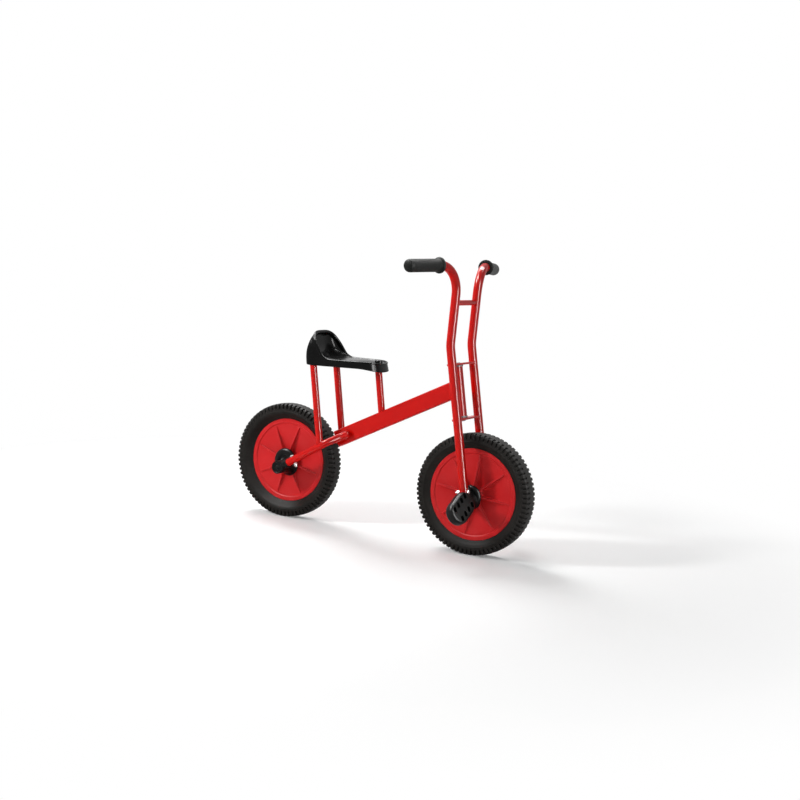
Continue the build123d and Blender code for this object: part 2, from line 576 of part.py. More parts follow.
def seat():
    """Moulded shell, open below: rolled skirt, dished pan and arched back, with sockets for the posts."""
    back = SEAT_START + SEAT_BACK_THICKNESS
    half_rear, half_front = SEAT_BACK_WIDTH / 2 - SEAT_RIM, SEAT_FRONT_WIDTH / 2 - SEAT_RIM
    bowl = make_face(Polyline((back, -half_rear), (SEAT_END - SEAT_RIM, -half_front),
                              (SEAT_END - SEAT_RIM, half_front), (back, half_rear), close=True))
    bowl = fillet(bowl.vertices(), SEAT_HOLLOW_CORNER)
    shell = seat_base() + seat_back() - extrude(bowl, SEAT_BACK_HEIGHT)
    under = Pos(Z=-SEAT_SKIRT) * extrude(seat_plan(SEAT_WALL), SEAT_SKIRT - SEAT_WALL)
    depth, fit = 2 * SEAT_SKIRT, POST_RADIUS + SEATED_GAP
    sockets = [under_pan(REAR_POST, side, depth, fit) for side in (-STAY_Y, STAY_Y)]
    return SEAT_PLACE * (shell - under) - sockets


# ---------------------------------------------------------------- pieces
def build():
    """All pieces by node name, in the workshop frame."""
    pieces = {}
    for which, axle in (("rear", REAR_AXLE), ("front", FRONT_AXLE)):
        pieces[f"rim_{which}"] = Pos(axle) * rim(which)
        pieces[f"tyre_{which}"] = Pos(axle) * tyre(which)
        reach = Vector(0, AXLE_END, 0)
        pieces[f"axle_{which}"] = rod(axle - reach, axle + reach, AXLE_RADIUS)

    fork_bolt, stay_bolt = clamp_bolt("front"), clamp_bolt("rear")
    right_pieces = {
        "fork_tube": fork_tube(-1) - fork_bolt,
        "grip": grip(-1),
        "fork_bolt": fork_bolt,
        "front_housing": housing("front") - fork_bolt,
        "foot_rest": foot_rest(),
        "stay": stay() - stay_bolt,
        "stay_bolt": stay_bolt,
        "rear_housing": housing("rear") - stay_bolt,
        "seat_post_rear": rear_post(),
    }
    for name, piece in right_pieces.items():
        for side, solid in both_sides(piece).items():
            pieces[f"{name}_{side}"] = solid

    pieces["handlebar_crossbar"] = crossbar()
    pieces["crown_plate_upper"] = crown_plate(CROWN_UPPER_HEIGHT)
    pieces["crown_plate_lower"] = crown_plate(CROWN_LOWER_HEIGHT)
    pieces["steering_pin"] = steering_pin()
    low, high = head_span()
    pieces["head_tube"] = head_tube()
    pieces["steering_bush_lower"] = bush(low, HEAD_UP)
    pieces["steering_bush_upper"] = bush(high, HEAD_UP * -1)
    pieces["main_beam"] = main_beam()
    pieces["seat_post_front"] = front_post()
    pieces["seat_shell"] = seat()
    return pieces


os.makedirs("parts", exist_ok=True)
for node, shape in build().items():
    export_step(Pos(RIDER * -1) * shape, f"parts/{node}.step")
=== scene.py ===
import json
import math
import bmesh
import bpy
from mathutils import Matrix, Vector


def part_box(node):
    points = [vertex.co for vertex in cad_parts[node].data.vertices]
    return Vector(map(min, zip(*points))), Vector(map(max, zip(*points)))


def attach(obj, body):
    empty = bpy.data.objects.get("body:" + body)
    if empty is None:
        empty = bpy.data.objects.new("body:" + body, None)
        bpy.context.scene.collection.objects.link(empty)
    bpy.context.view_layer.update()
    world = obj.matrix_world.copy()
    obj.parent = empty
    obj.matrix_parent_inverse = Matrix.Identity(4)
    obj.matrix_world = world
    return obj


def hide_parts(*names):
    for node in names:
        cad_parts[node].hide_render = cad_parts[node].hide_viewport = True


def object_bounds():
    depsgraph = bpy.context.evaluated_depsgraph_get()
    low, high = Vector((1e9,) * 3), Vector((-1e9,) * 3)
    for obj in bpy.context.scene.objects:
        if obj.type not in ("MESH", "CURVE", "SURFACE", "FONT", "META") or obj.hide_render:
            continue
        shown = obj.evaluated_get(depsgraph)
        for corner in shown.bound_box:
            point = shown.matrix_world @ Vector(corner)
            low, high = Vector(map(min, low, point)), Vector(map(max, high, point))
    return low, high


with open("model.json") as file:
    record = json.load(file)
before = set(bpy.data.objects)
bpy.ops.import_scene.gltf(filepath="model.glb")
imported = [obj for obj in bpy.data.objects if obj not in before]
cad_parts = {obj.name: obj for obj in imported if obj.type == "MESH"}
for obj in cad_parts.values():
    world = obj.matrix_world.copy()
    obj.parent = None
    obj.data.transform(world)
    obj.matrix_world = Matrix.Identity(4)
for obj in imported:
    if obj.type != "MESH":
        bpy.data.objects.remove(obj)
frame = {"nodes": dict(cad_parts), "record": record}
cad_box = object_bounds()
nodes = frame["nodes"]

# Kids bicycle.  The beam, stays, seat posts, head tube, bushes, fork tubes, crossbar and axles are
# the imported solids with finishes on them.  The tyres, discs, grips, clamp bolts, crown plates,
# steering pin, housings, foot rests and seat are built here in place of their solids, and so is the
# seat's cap, which has none.  Studio places are in metres, the bicycle's own sizes in millimetres.
MM = 0.001

# ---------------------------------------------------------------- camera and studio
TARGET = Vector((0.1199, 0.0, -0.0904))
CAMERA_AZIMUTH = 27.0
CAMERA_ELEVATION = 7.4
CAMERA_ROLL = 4.8
CAMERA_DISTANCE = 3.2612
CAMERA_LENS = 54.9
CAMERA_CLIP_END = 50
ROOM_LIGHT = 0.4
FLOOR_Z = cad_box[0].z
FLOOR_HALF = 15
PAPER_COLOUR = (0.9, 0.9, 0.9, 1)
PAPER_ROUGHNESS = 0.9
PAPER_LIFT = 0.13               # of white in the unshaded paper
PAPER_MIDDLE = (0.1, 0.0, FLOOR_Z)
PAPER_FADE = (0.75, 1.5)        # distance over which the paper runs out to plain white
WHITE = (1, 1, 1, 1)


def add_object(name, data):
    obj = bpy.data.objects.new(name, data)
    bpy.context.scene.collection.objects.link(obj)
    return obj


def math_node(tree, operation, first, second):
    """Math node of two values or sockets; returns its output."""
    node = tree.nodes.new("ShaderNodeMath")
    node.operation = operation
    node.use_clamp = operation == "MULTIPLY"
    for socket, value in zip(node.inputs, (first, second)):
        if isinstance(value, (int, float)):
            socket.default_value = value
        else:
            tree.links.new(value, socket)
    return node.outputs[0]


def studio_camera():
    azimuth, elevation = math.radians(CAMERA_AZIMUTH), math.radians(CAMERA_ELEVATION)
    back = Vector((math.sin(azimuth) * math.cos(elevation),
                   -math.cos(azimuth) * math.cos(elevation), math.sin(elevation)))
    data = bpy.data.cameras.new("studio_camera")
    data.lens = CAMERA_LENS
    data.clip_end = CAMERA_CLIP_END
    camera = add_object("studio_camera", data)
    roll = Matrix.Rotation(math.radians(CAMERA_ROLL), 4, "Z")
    look = (-back).to_track_quat("-Z", "Y").to_matrix().to_4x4() @ roll
    camera.matrix_world = Matrix.Translation(TARGET + back * CAMERA_DISTANCE) @ look
    bpy.context.scene.camera = camera


def softbox(name, place, aim, size, power, lights=True, shines=True):
    """Rectangular lamp that lights the object, shines back from polished surfaces, or both."""
    data = bpy.data.lights.new(name, "AREA")
    data.shape = "RECTANGLE"
    data.size, data.size_y = size
    data.energy = power
    place, aim = Vector(place), Vector(aim)
    turn = (aim - place).to_track_quat("-Z", "Y").to_matrix().to_4x4()
    lamp = add_object(name, data)
    lamp.matrix_world = Matrix.Translation(place) @ turn
    lamp.visible_diffuse, lamp.visible_glossy = lights, shines


def seen_by_eye(tree):
    """1 for rays that the camera, a mirror or glass sends out, otherwise 0."""
    rays = tree.nodes.new("ShaderNodeLightPath").outputs
    direct = math_node(tree, "MAXIMUM", rays["Is Camera Ray"], rays["Is Glossy Ray"])
    return math_node(tree, "MAXIMUM", direct, rays["Is Transmission Ray"])


def studio_world():
    """Soft white room, full white where the camera or a mirror looks out."""
    world = bpy.data.worlds.new("studio")
    world.use_nodes = True
    bpy.context.scene.world = world
    tree = world.node_tree
    background = tree.nodes["Background"]
    background.inputs["Color"].default_value = WHITE
    level = tree.nodes.new("ShaderNodeMapRange")
    level.inputs["To Min"].default_value = ROOM_LIGHT
    level.inputs["To Max"].default_value = 1.0
    tree.links.new(seen_by_eye(tree), level.inputs["Value"])
    tree.links.new(level.outputs["Result"], background.inputs["Strength"])


def floor_paper():
    """White paper that keeps the object's shadow and runs out to plain white around it."""
    material = bpy.data.materials.new("floor_paper")
    material.use_nodes = True
    tree = material.node_tree
    paper = tree.nodes["Principled BSDF"]
    paper.inputs["Base Color"].default_value = PAPER_COLOUR
    paper.inputs["Roughness"].default_value = PAPER_ROUGHNESS
    paper.inputs["Specular IOR Level"].default_value = 0.0
    paper.inputs["Emission Color"].default_value = WHITE
    eye = seen_by_eye(tree)
    tree.links.new(math_node(tree, "MULTIPLY", eye, PAPER_LIFT), paper.inputs["Emission Strength"])
    place = tree.nodes.new("ShaderNodeNewGeometry")
    reach = tree.nodes.new("ShaderNodeVectorMath")
    reach.operation = "DISTANCE"
    reach.inputs[1].default_value = PAPER_MIDDLE
    tree.links.new(place.outputs["Position"], reach.inputs[0])
    far = tree.nodes.new("ShaderNodeMapRange")
    far.interpolation_type = "SMOOTHSTEP"
    far.inputs["From Min"].default_value, far.inputs["From Max"].default_value = PAPER_FADE
    tree.links.new(reach.outputs["Value"], far.inputs["Value"])
    white = tree.nodes.new("ShaderNodeEmission")
    mixed = tree.nodes.new("ShaderNodeMixShader")
    tree.links.new(math_node(tree, "MULTIPLY", far.outputs["Result"], eye), mixed.inputs["Fac"])
    tree.links.new(paper.outputs[0], mixed.inputs[1])
    tree.links.new(white.outputs[0], mixed.inputs[2])
    tree.links.new(mixed.outputs[0], tree.nodes["Material Output"].inputs["Surface"])
    return material


def studio_floor():
    mesh = bpy.data.meshes.new("studio_floor")
    corners = [(x * FLOOR_HALF, y * FLOOR_HALF, FLOOR_Z)
               for x, y in ((-1, -1), (1, -1), (1, 1), (-1, 1))]
    mesh.from_pydata(corners, [], [(0, 1, 2, 3)])
    mesh.materials.append(floor_paper())
    add_object("studio_floor", mesh)


studio_camera()
studio_world()
studio_floor()
softbox("key_softbox", (-1.6, 1.0, 2.2), (0.1, 0, -0.2), (1.3, 1.3), 66)
softbox("side_fill", (-1.7, -2.2, 1.2), (0.0, 0, -0.1), (0.4, 0.4), 56, shines=False)
softbox("front_window", (2.3, -0.55, 0.5), (0.2, 0, 0.0), (1.0, 2.4), 270, lights=False)
softbox("overhead_window", (-0.1, 0.9, 2.3), (0.0, 0, 0.0), (2.4, 0.8), 240, lights=False)
softbox("side_window", (-1.4, -0.9, 2.1), (-0.2, 0, 0.1), (1.2, 1.2), 320, lights=False)
bpy.context.scene.view_settings.view_transform = "Standard"

# ---------------------------------------------------------------- shared surface effects
GRAIN_DETAIL, PATCH_DETAIL, DUST_DETAIL, STREAK_DETAIL = 3.0, 2.0, 6.0, 8.0
PATCH_SPAN = (0.3, 0.7)         # part of the noise that runs from no patch to full patch
DUST_SPAN = (0.42, 0.68)
UPWARD_SPAN = (-0.6, 1.0)       # from faces that hang over to faces that look straight up
STREAK_SPAN = (0.56, 0.74)
STREAK_STRETCH = (1.0, 0.35, 4.0)


def effect_group(name, inputs, outputs):
    """Empty shader node group with named sockets; returns the tree, its input and its output."""
    tree = bpy.data.node_groups.new(name, "ShaderNodeTree")
    for way, sockets in (("INPUT", inputs), ("OUTPUT", outputs)):
        for socket, kind in sockets.items():
            tree.interface.new_socket(socket, in_out=way, socket_type=f"NodeSocket{kind}")
    return tree, tree.nodes.new("NodeGroupInput"), tree.nodes.new("NodeGroupOutput")


def noise(tree, scale, detail, stretch=None):
    """Noise over the object's own coordinates, its scale from a socket; returns its factor."""
    source = tree.nodes.new("ShaderNodeTexCoord").outputs["Object"]
    texture = tree.nodes.new("ShaderNodeTexNoise")
    texture.inputs["Detail"].default_value = detail
    if stretch:
        mapping = tree.nodes.new("ShaderNodeMapping")
        mapping.inputs["Scale"].default_value = stretch
        tree.links.new(source, mapping.inputs["Vector"])
        source = mapping.outputs["Vector"]
    tree.links.new(source, texture.inputs["Vector"])
    tree.links.new(scale, texture.inputs["Scale"])
    return texture.outputs["Fac"]


def mix_colours(tree, share, first, second):
    """Mix of two colour sockets by a value socket; returns its output."""
    node = tree.nodes.new("ShaderNodeMix")
    node.data_type = "RGBA"
    tree.links.new(share, node.inputs["Factor"])
    tree.links.new(first, node.inputs["A"])
    tree.links.new(second, node.inputs["B"])
    return node.outputs["Result"]


def ramp(tree, value, span):
    """Value stretched so that the span's low end becomes 0 and its high end becomes 1."""
    node = tree.nodes.new("ShaderNodeMapRange")
    node.inputs["From Min"].default_value, node.inputs["From Max"].default_value = span
    tree.links.new(value, node.inputs["Value"])
    return node.outputs["Result"]


def make_moulding_grain():
    """Fine height of paint or moulded plastic, and broad patches of slightly different colour."""
    tree, given, made = effect_group(
        "moulding_grain",
        {"Grain Scale": "Float", "Patch Scale": "Float", "Colour": "Color",
         "Patch Colour": "Color"},
        {"Height": "Float", "Patch": "Float", "Colour": "Color"})
    height = noise(tree, given.outputs["Grain Scale"], GRAIN_DETAIL)
    patch = ramp(tree, noise(tree, given.outputs["Patch Scale"], PATCH_DETAIL), PATCH_SPAN)
    colour = mix_colours(tree, patch, given.outputs["Colour"], given.outputs["Patch Colour"])
    tree.links.new(height, made.inputs["Height"])
    tree.links.new(patch, made.inputs["Patch"])
    tree.links.new(colour, made.inputs["Colour"])
    return tree


def make_settled_dust():
    """Thin dust on faces that look up, broken into patches."""
    tree, given, made = effect_group(
        "settled_dust",
        {"Colour": "Color", "Dust Colour": "Color", "Amount": "Float", "Scale": "Float"},
        {"Colour": "Color", "Cover": "Float"})
    split = tree.nodes.new("ShaderNodeSeparateXYZ")
    facing = tree.nodes.new("ShaderNodeNewGeometry")
    tree.links.new(facing.outputs["Normal"], split.inputs["Vector"])
    upward = ramp(tree, split.outputs["Z"], UPWARD_SPAN)
    patches = ramp(tree, noise(tree, given.outputs["Scale"], DUST_DETAIL), DUST_SPAN)
    settled = math_node(tree, "MULTIPLY", patches, upward)
    cover = math_node(tree, "MULTIPLY", settled, given.outputs["Amount"])
    colour = mix_colours(tree, cover, given.outputs["Colour"], given.outputs["Dust Colour"])
    tree.links.new(colour, made.inputs["Colour"])
    tree.links.new(cover, made.inputs["Cover"])
    return tree


def make_rubbed_streaks():
    """Fine rubbed streaks, a little paler and duller than the surface."""
    tree, given, made = effect_group(
        "rubbed_streaks",
        {"Colour": "Color", "Rubbed Colour": "Color", "Amount": "Float", "Scale": "Float"},
        {"Colour": "Color", "Rub": "Float"})
    streaks = noise(tree, given.outputs["Scale"], STREAK_DETAIL, STREAK_STRETCH)
    rub = math_node(tree, "MULTIPLY", ramp(tree, streaks, STREAK_SPAN), given.outputs["Amount"])
    colour = mix_colours(tree, rub, given.outputs["Colour"], given.outputs["Rubbed Colour"])
    tree.links.new(colour, made.inputs["Colour"])
    tree.links.new(rub, made.inputs["Rub"])
    return tree


GRAIN, DUST, RUB = make_moulding_grain(), make_settled_dust(), make_rubbed_streaks()

# ---------------------------------------------------------------- finishes
PATCH_SCALE, STREAK_SCALE, DUST_SCALE = 14.0, 90.0, 26.0
COAT_ROUGHNESS = 0.05
DUST_COLOUR, RUBBED_COLOUR = (0.35, 0.32, 0.28), (0.5, 0.5, 0.5)


def place_group(tree, group, values):
    """Group node whose sockets hold the given numbers, colours or links; returns its outputs."""
    node = tree.nodes.new("ShaderNodeGroup")
    node.node_tree = group
    for socket, value in values.items():
        if isinstance(value, bpy.types.NodeSocket):
            tree.links.new(value, node.inputs[socket])
        else:
            node.inputs[socket].default_value = (*value, 1) if isinstance(value, tuple) else value
    return node.outputs


def finish(name, colour, patch_colour, roughness, grain, grain_height, dust=0.0, rub=0.0, coat=0.0,
           metallic=0.0, specular=0.5, dust_colour=DUST_COLOUR, rubbed_colour=RUBBED_COLOUR):
    """Material with grain, broad colour patches, dust and rubbed streaks at the given strengths."""
    material = bpy.data.materials.new(name)
    material.use_nodes = True
    tree = material.node_tree
    shader = tree.nodes["Principled BSDF"]
    base = place_group(tree, GRAIN, {"Grain Scale": grain, "Patch Scale": PATCH_SCALE,
                                     "Colour": colour, "Patch Colour": patch_colour})
    rubbed = place_group(tree, RUB, {"Colour": base["Colour"], "Rubbed Colour": rubbed_colour,
                                     "Amount": rub, "Scale": STREAK_SCALE})
    dusty = place_group(tree, DUST, {"Colour": rubbed["Colour"], "Dust Colour": dust_colour,
                                     "Amount": dust, "Scale": DUST_SCALE})
    tree.links.new(dusty["Colour"], shader.inputs["Base Color"])
    level = tree.nodes.new("ShaderNodeMapRange")
    level.inputs["To Min"].default_value, level.inputs["To Max"].default_value = roughness
    tree.links.new(base["Patch"], level.inputs["Value"])
    dulled = math_node(tree, "ADD", level.outputs["Result"],
                       math_node(tree, "MAXIMUM", dusty["Cover"], rubbed["Rub"]))
    tree.links.new(dulled, shader.inputs["Roughness"])
    bump = tree.nodes.new("ShaderNodeBump")
    bump.inputs["Distance"].default_value = grain_height
    tree.links.new(base["Height"], bump.inputs["Height"])
    tree.links.new(bump.outputs["Normal"], shader.inputs["Normal"])
    shader.inputs["Metallic"].default_value = metallic
    shader.inputs["Coat Weight"].default_value = coat
    shader.inputs["Coat Roughness"].default_value = COAT_ROUGHNESS
    shader.inputs["Specular IOR Level"].default_value = specular
    return material


FINISHES = {
    "red_paint": finish(
        "red_powder_coat", (0.57, 0.003, 0.001), (0.53, 0.002, 0.001), (0.30, 0.38), grain=420.0,
        grain_height=0.00005, dust=0.004, coat=0.26, specular=0.02,
        rubbed_colour=(0.62, 0.05, 0.05)),
    "red_plastic": finish(
        "red_moulded_plastic", (0.58, 0.016, 0.018), (0.53, 0.012, 0.014), (0.40, 0.5), grain=900.0,
        grain_height=0.0003, dust=0.03, rub=0.08, specular=0.12, rubbed_colour=(0.62, 0.08, 0.08)),
    "black_rubber": finish(
        "tyre_rubber", (0.009, 0.008, 0.007), (0.014, 0.0125, 0.011), (0.5, 0.62), grain=700.0,
        grain_height=0.0006, dust=0.08, rub=0.12, specular=0.08, dust_colour=(0.10, 0.09, 0.075),
        rubbed_colour=(0.06, 0.055, 0.05)),
    "black_plastic": finish(
        "black_moulded_plastic", (0.004, 0.004, 0.004), (0.007, 0.007, 0.007), (0.26, 0.34),
        grain=1100.0, grain_height=0.0002, dust=0.02, rub=0.06, specular=0.1,
        rubbed_colour=(0.06, 0.06, 0.06)),
    "seat_plastic": finish(
        "glossy_black_plastic", (0.001, 0.001, 0.001), (0.002, 0.002, 0.002), (0.2, 0.27),
        grain=500.0, grain_height=0.00005, dust=0.004, coat=0.12, specular=0.04,
        rubbed_colour=(0.03, 0.03, 0.03)),
    "grip_rubber": finish(
        "grip_vinyl", (0.006, 0.007, 0.006), (0.009, 0.010, 0.009), (0.42, 0.52), grain=1300.0,
        grain_height=0.0004, dust=0.02, rub=0.12, specular=0.06, rubbed_colour=(0.06, 0.06, 0.06)),
    "bush_plastic": finish(
        "dull_bush_plastic", (0.010, 0.010, 0.010), (0.014, 0.014, 0.014), (0.5, 0.6), grain=900.0,
        grain_height=0.0003, dust=0.06),
    "zinc_steel": finish(
        "bright_zinc", (0.62, 0.62, 0.60), (0.50, 0.51, 0.52), (0.22, 0.34), grain=800.0,
        grain_height=0.0002, dust=0.05, rub=0.25, metallic=1.0, rubbed_colour=(0.75, 0.75, 0.74)),
}


# ---------------------------------------------------------------- making pieces
def piece(name, shape, body, slot, material=None, stands_for=(), sharp_angle=38.0):
    """Piece in the row frame from points and faces, riding on a body, finished by its slot."""
    verts, faces = shape
    mesh = bpy.data.meshes.new(name)
    mesh.from_pydata([tuple(v) for v in verts], [], faces)
    outward = bmesh.new()
    outward.from_mesh(mesh)
    bmesh.ops.recalc_face_normals(outward, faces=outward.faces)
    outward.to_mesh(mesh)
    outward.free()
    mesh.shade_smooth()
    mesh.set_sharp_from_angle(angle=math.radians(sharp_angle))
    mesh.materials.append(FINISHES[material or slot])
    obj = add_object(name, mesh)
    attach(obj, body)
    if stands_for:
        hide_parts(*stands_for)
    return obj


def node_middle(node):
    """Middle of a node's box."""
    low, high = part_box(node)
    return (low + high) / 2


def end_centre(node, way, radius):
    """Centre of a node's flat round end that looks along a unit vector."""
    low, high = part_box(node)
    centre = (low + high) / 2
    for axis in range(3):
        reach = radius * MM * math.sqrt(max(0.0, 1 - way[axis] ** 2))
        if way[axis] > 0.01:
            centre[axis] = high[axis] - reach
        elif way[axis] < -0.01:
            centre[axis] = low[axis] + reach
    return centre


def joined(*shapes):
    """Points and faces of several shapes as one."""
    verts, faces = [], []
    for points, polygons in shapes:
        faces.extend([[len(verts) + corner for corner in polygon] for polygon in polygons])
        verts.extend(points)
    return verts, faces


def ring_faces(columns, rows, closed_rows=True):
    """Quads of a grid that closes on itself round its columns, and along its rows if asked."""
    spans = rows if closed_rows else rows - 1
    return [(c * rows + r, (c + 1) % columns * rows + r,
             (c + 1) % columns * rows + (r + 1) % rows, c * rows + (r + 1) % rows)
            for c in range(columns) for r in range(spans)]


def turned(profile, start, way, sides, flutes=0, flute_depth=0.0):
    """Solid of revolution from (along, radius), and on a fluted piece the share of the depth."""
    turn = way.to_track_quat("Z", "Y").to_matrix()
    verts = []
    for step in range(sides):
        angle = 2 * math.pi * step / sides
        dip = flute_depth * MM * (0.5 - 0.5 * math.cos(flutes * angle))
        for along, radius, *share in profile:
            reach = radius * MM - dip * sum(share)
            verts.append(start + turn @ Vector((reach * math.cos(angle), reach * math.sin(angle),
                                                along * MM)))
    rows = len(profile)
    faces = ring_faces(sides, rows, closed_rows=False)
    faces.append([step * rows for step in range(sides)])
    faces.append([step * rows + rows - 1 for step in range(sides)])
    return verts, faces


def stadium(length, width, steps):
    """Outline of a round-ended strip lying along x."""
    radius, reach = width / 2, (length - width) / 2
    outline = []
    for end, first in ((1, -90), (-1, 90)):
        for step in range(steps + 1):
            angle = math.radians(first + 180 * step / steps)
            outline.append((end * reach + radius * math.cos(angle), radius * math.sin(angle)))
    return outline


def stacked(layers):
    """Closed solid through outlines of equal length: (outline, height) from the lowest up."""
    count = len(layers[0][0])
    verts = [Vector((x, y, height)) for outline, height in layers for x, y in outline]
    faces = [(ring * count + i, ring * count + (i + 1) % count,
              (ring + 1) * count + (i + 1) % count, (ring + 1) * count + i)
             for ring in range(len(layers) - 1) for i in range(count)]
    faces += [list(range(count))[::-1], list(range((len(layers) - 1) * count, len(layers) * count))]
    return verts, faces


def carved(body, cutters):
    """Points and faces of a solid less the cutters."""
    helpers = []
    for verts, faces in (body, cutters):
        mesh = bpy.data.meshes.new("carving")
        mesh.from_pydata(verts, [], faces)
        helpers.append(add_object("carving", mesh))
    cut = helpers[0].modifiers.new("cut", "BOOLEAN")
    cut.object, cut.operation, cut.solver = helpers[1], "DIFFERENCE", "EXACT"
    result = helpers[0].evaluated_get(bpy.context.evaluated_depsgraph_get()).to_mesh()
    verts = [vertex.co.copy() for vertex in result.vertices]
    faces = [list(polygon.vertices) for polygon in result.polygons]
    for helper in helpers:
        mesh = helper.data
        bpy.data.objects.remove(helper)
        bpy.data.meshes.remove(mesh)
    return verts, faces


def along_line(points, shares):
    """Points at shares of a polyline's length."""
    lengths = [0.0]
    for first, second in zip(points, points[1:]):
        lengths.append(lengths[-1] + (Vector(second) - Vector(first)).length)
    last = len(lengths) - 1
    placed = []
    for share in shares:
        target = share * lengths[-1]
        index = next((i for i in range(1, last + 1) if lengths[i] >= target - 1e-9), last)
        before, span = lengths[index - 1], lengths[index] - lengths[index - 1] or 1.0
        first, second = Vector(points[index - 1]), Vector(points[index])
        placed.append(first.lerp(second, (target - before) / span))
    return placed


def smooth_line(points, count):
    """Dense smooth curve through points, by cardinal interpolation."""
    line = [Vector(p) for p in points]
    dense = []
    for index in range(len(line) - 1):
        before, after = line[max(index - 1, 0)], line[min(index + 2, len(line) - 1)]
        first, second = line[index], line[index + 1]
        for step in range(count):
            t = step / count
            dense.append(0.5 * (2 * first + (second - before) * t
                                + (2 * before - 5 * first + 4 * second - after) * t ** 2
                                + (3 * first - before - 3 * second + after) * t ** 3))
    return dense + [line[-1]]


def bend(first, near, far, last, share):
    """Point of a curve that leaves first towards near and comes to last from far."""
    rest = 1 - share
    return (first * rest ** 3 + near * (3 * share * rest ** 2) + far * (3 * share ** 2 * rest)
            + last * share ** 3)


def held(value):
    """Value kept between 0 and 1."""
    return max(0.0, min(1.0, value))


# ---------------------------------------------------------------- wheels
WHEELS = {
    "rear": {"body": "rear_wheel", "half_width": 24.0, "lip_radius": 116.5, "lip_offset": 6.0,
             "rib_phase": 28.5, "hub_face": 15.0, "web_foot": 0.5, "rib_height": 14.5},
    "front": {"body": "front_wheel", "half_width": 27.0, "lip_radius": 121.0, "lip_offset": 17.0,
              "rib_phase": 38.5, "hub_face": 24.0, "web_foot": 4.0, "rib_height": 22.0},
}
TYRE_RADIUS = 160.0
NOTCHES = 76
NOTCH_DEPTH = 4.5
NOTCH_COLUMNS = ((0.0, 0.0), (0.035, 0.08), (0.07, 1.0), (0.25, 1.0), (0.43, 1.0), (0.465, 0.08),
                 (0.50, 0.0), (0.75, 0.0))      # share of the pitch, share of the depth
HUB_RADIUS = 21.0
AXLE_HOLE = 6.05
LIP_WIDTH, LIP_STEP = 10.0, 3.0
WEB_START, WEB_STEP = 32, 8                     # rings of the web, from the hub out
RIB_COUNT = 8
RIB_COLUMNS = ((-3.8, 0.0), (-2.5, 0.06), (-2.1, 0.9), (-1.6, 1.0), (0.0, 1.0), (1.6, 1.0),
               (2.1, 0.9), (2.5, 0.06), (3.8, 0.0))     # from the rib's middle, share of its height
RIB_SHOULDER = 12.0                             # ribs keep their height this far past the hub
RIB_LIP_GAP = 7.0
RIB_END_HEIGHT, RIB_END_LENGTH = 1.8, 1.6
WEB_COLUMNS = (0.2, 0.4, 0.6, 0.8)              # shares of the way from rib to rib


def tyre_section(wheel):
    """Half section from under the disc's lip to the crown: offset, radius, share of notch depth."""
    half, lip, edge = wheel["half_width"], wheel["lip_radius"], wheel["lip_offset"]
    side = half - edge
    bead = [(0, lip - 8, 0), (edge - 3, lip - 8, 0), (edge - 2, lip - 2, 0),
            (edge - 1, lip + 0.3, 0), (edge + 0.6, lip + 1.6, 0)]
    wall = [(edge + share * side, lip + up, 0)
            for share, up in ((0.12, 3.4), (0.3, 6.4), (0.5, 9.4), (0.7, 12.6))]
    ledge = [(half - 2.6, lip + 15.5, 0), (half - 1.3, lip + 17.5, 0), (half - 0.7, 136.8, 0),
             (half - 0.1, 137.8, 0), (half - 0.1, 139.2, 0), (half - 0.5, 139.8, 0),
             (half - 0.1, 143.2, 0)]
    shoulder = [(half - 0.05, 144.0, 0.1), (half - 0.1, 145.2, 0.9), (half - 0.2, 147.5, 1),
                (half - 0.5, 151, 1), (half - 0.9, 154, 1), (half - 1.7, 156.2, 1),
                (half - 3.2, 157.8, 1), (half - 6, 158.8, 1), (14.5, 159.3, 1), (13.2, 159.4, 0.9),
                (12.4, 159.45, 0.1)]
    crown = [(11.5, 159.5, 0), (6, 159.85, 0), (0, TYRE_RADIUS, 0)]
    return bead + wall + ledge + shoulder + crown


def inward_normals(section):
    """Unit vectors to the right of a closed section's run, in its own plane."""
    normals = []
    for index in range(len(section)):
        before, after = section[index - 1], section[(index + 1) % len(section)]
        run, rise = after[0] - before[0], after[1] - before[1]
        length = math.hypot(run, rise) or 1.0
        normals.append((-rise / length, run / length))
    return normals


def build_tyre(which):
    """Solid tyre with cross notches over both shoulders."""
    wheel = WHEELS[which]
    half = tyre_section(wheel)
    section = half + [(-y, radius, share) for y, radius, share in reversed(half[1:-1])]
    normals = inward_normals(section)
    centre = node_middle(f"axle_{which}")
    verts = []
    for notch in range(NOTCHES):
        for fraction, depth in NOTCH_COLUMNS:
            angle = 2 * math.pi * (notch + fraction) / NOTCHES
            for (y, radius, share), (side, up) in zip(section, normals):
                cut = NOTCH_DEPTH * depth * share
                reach = (radius + up * cut) * MM
                verts.append(centre + Vector((reach * math.cos(angle), (y + side * cut) * MM,
                                              reach * math.sin(angle))))
    faces = ring_faces(NOTCHES * len(NOTCH_COLUMNS), len(section))
    piece(f"tyre_{which}_moulded", (verts, faces), wheel["body"], "black_rubber",
          stands_for=[f"tyre_{which}"])


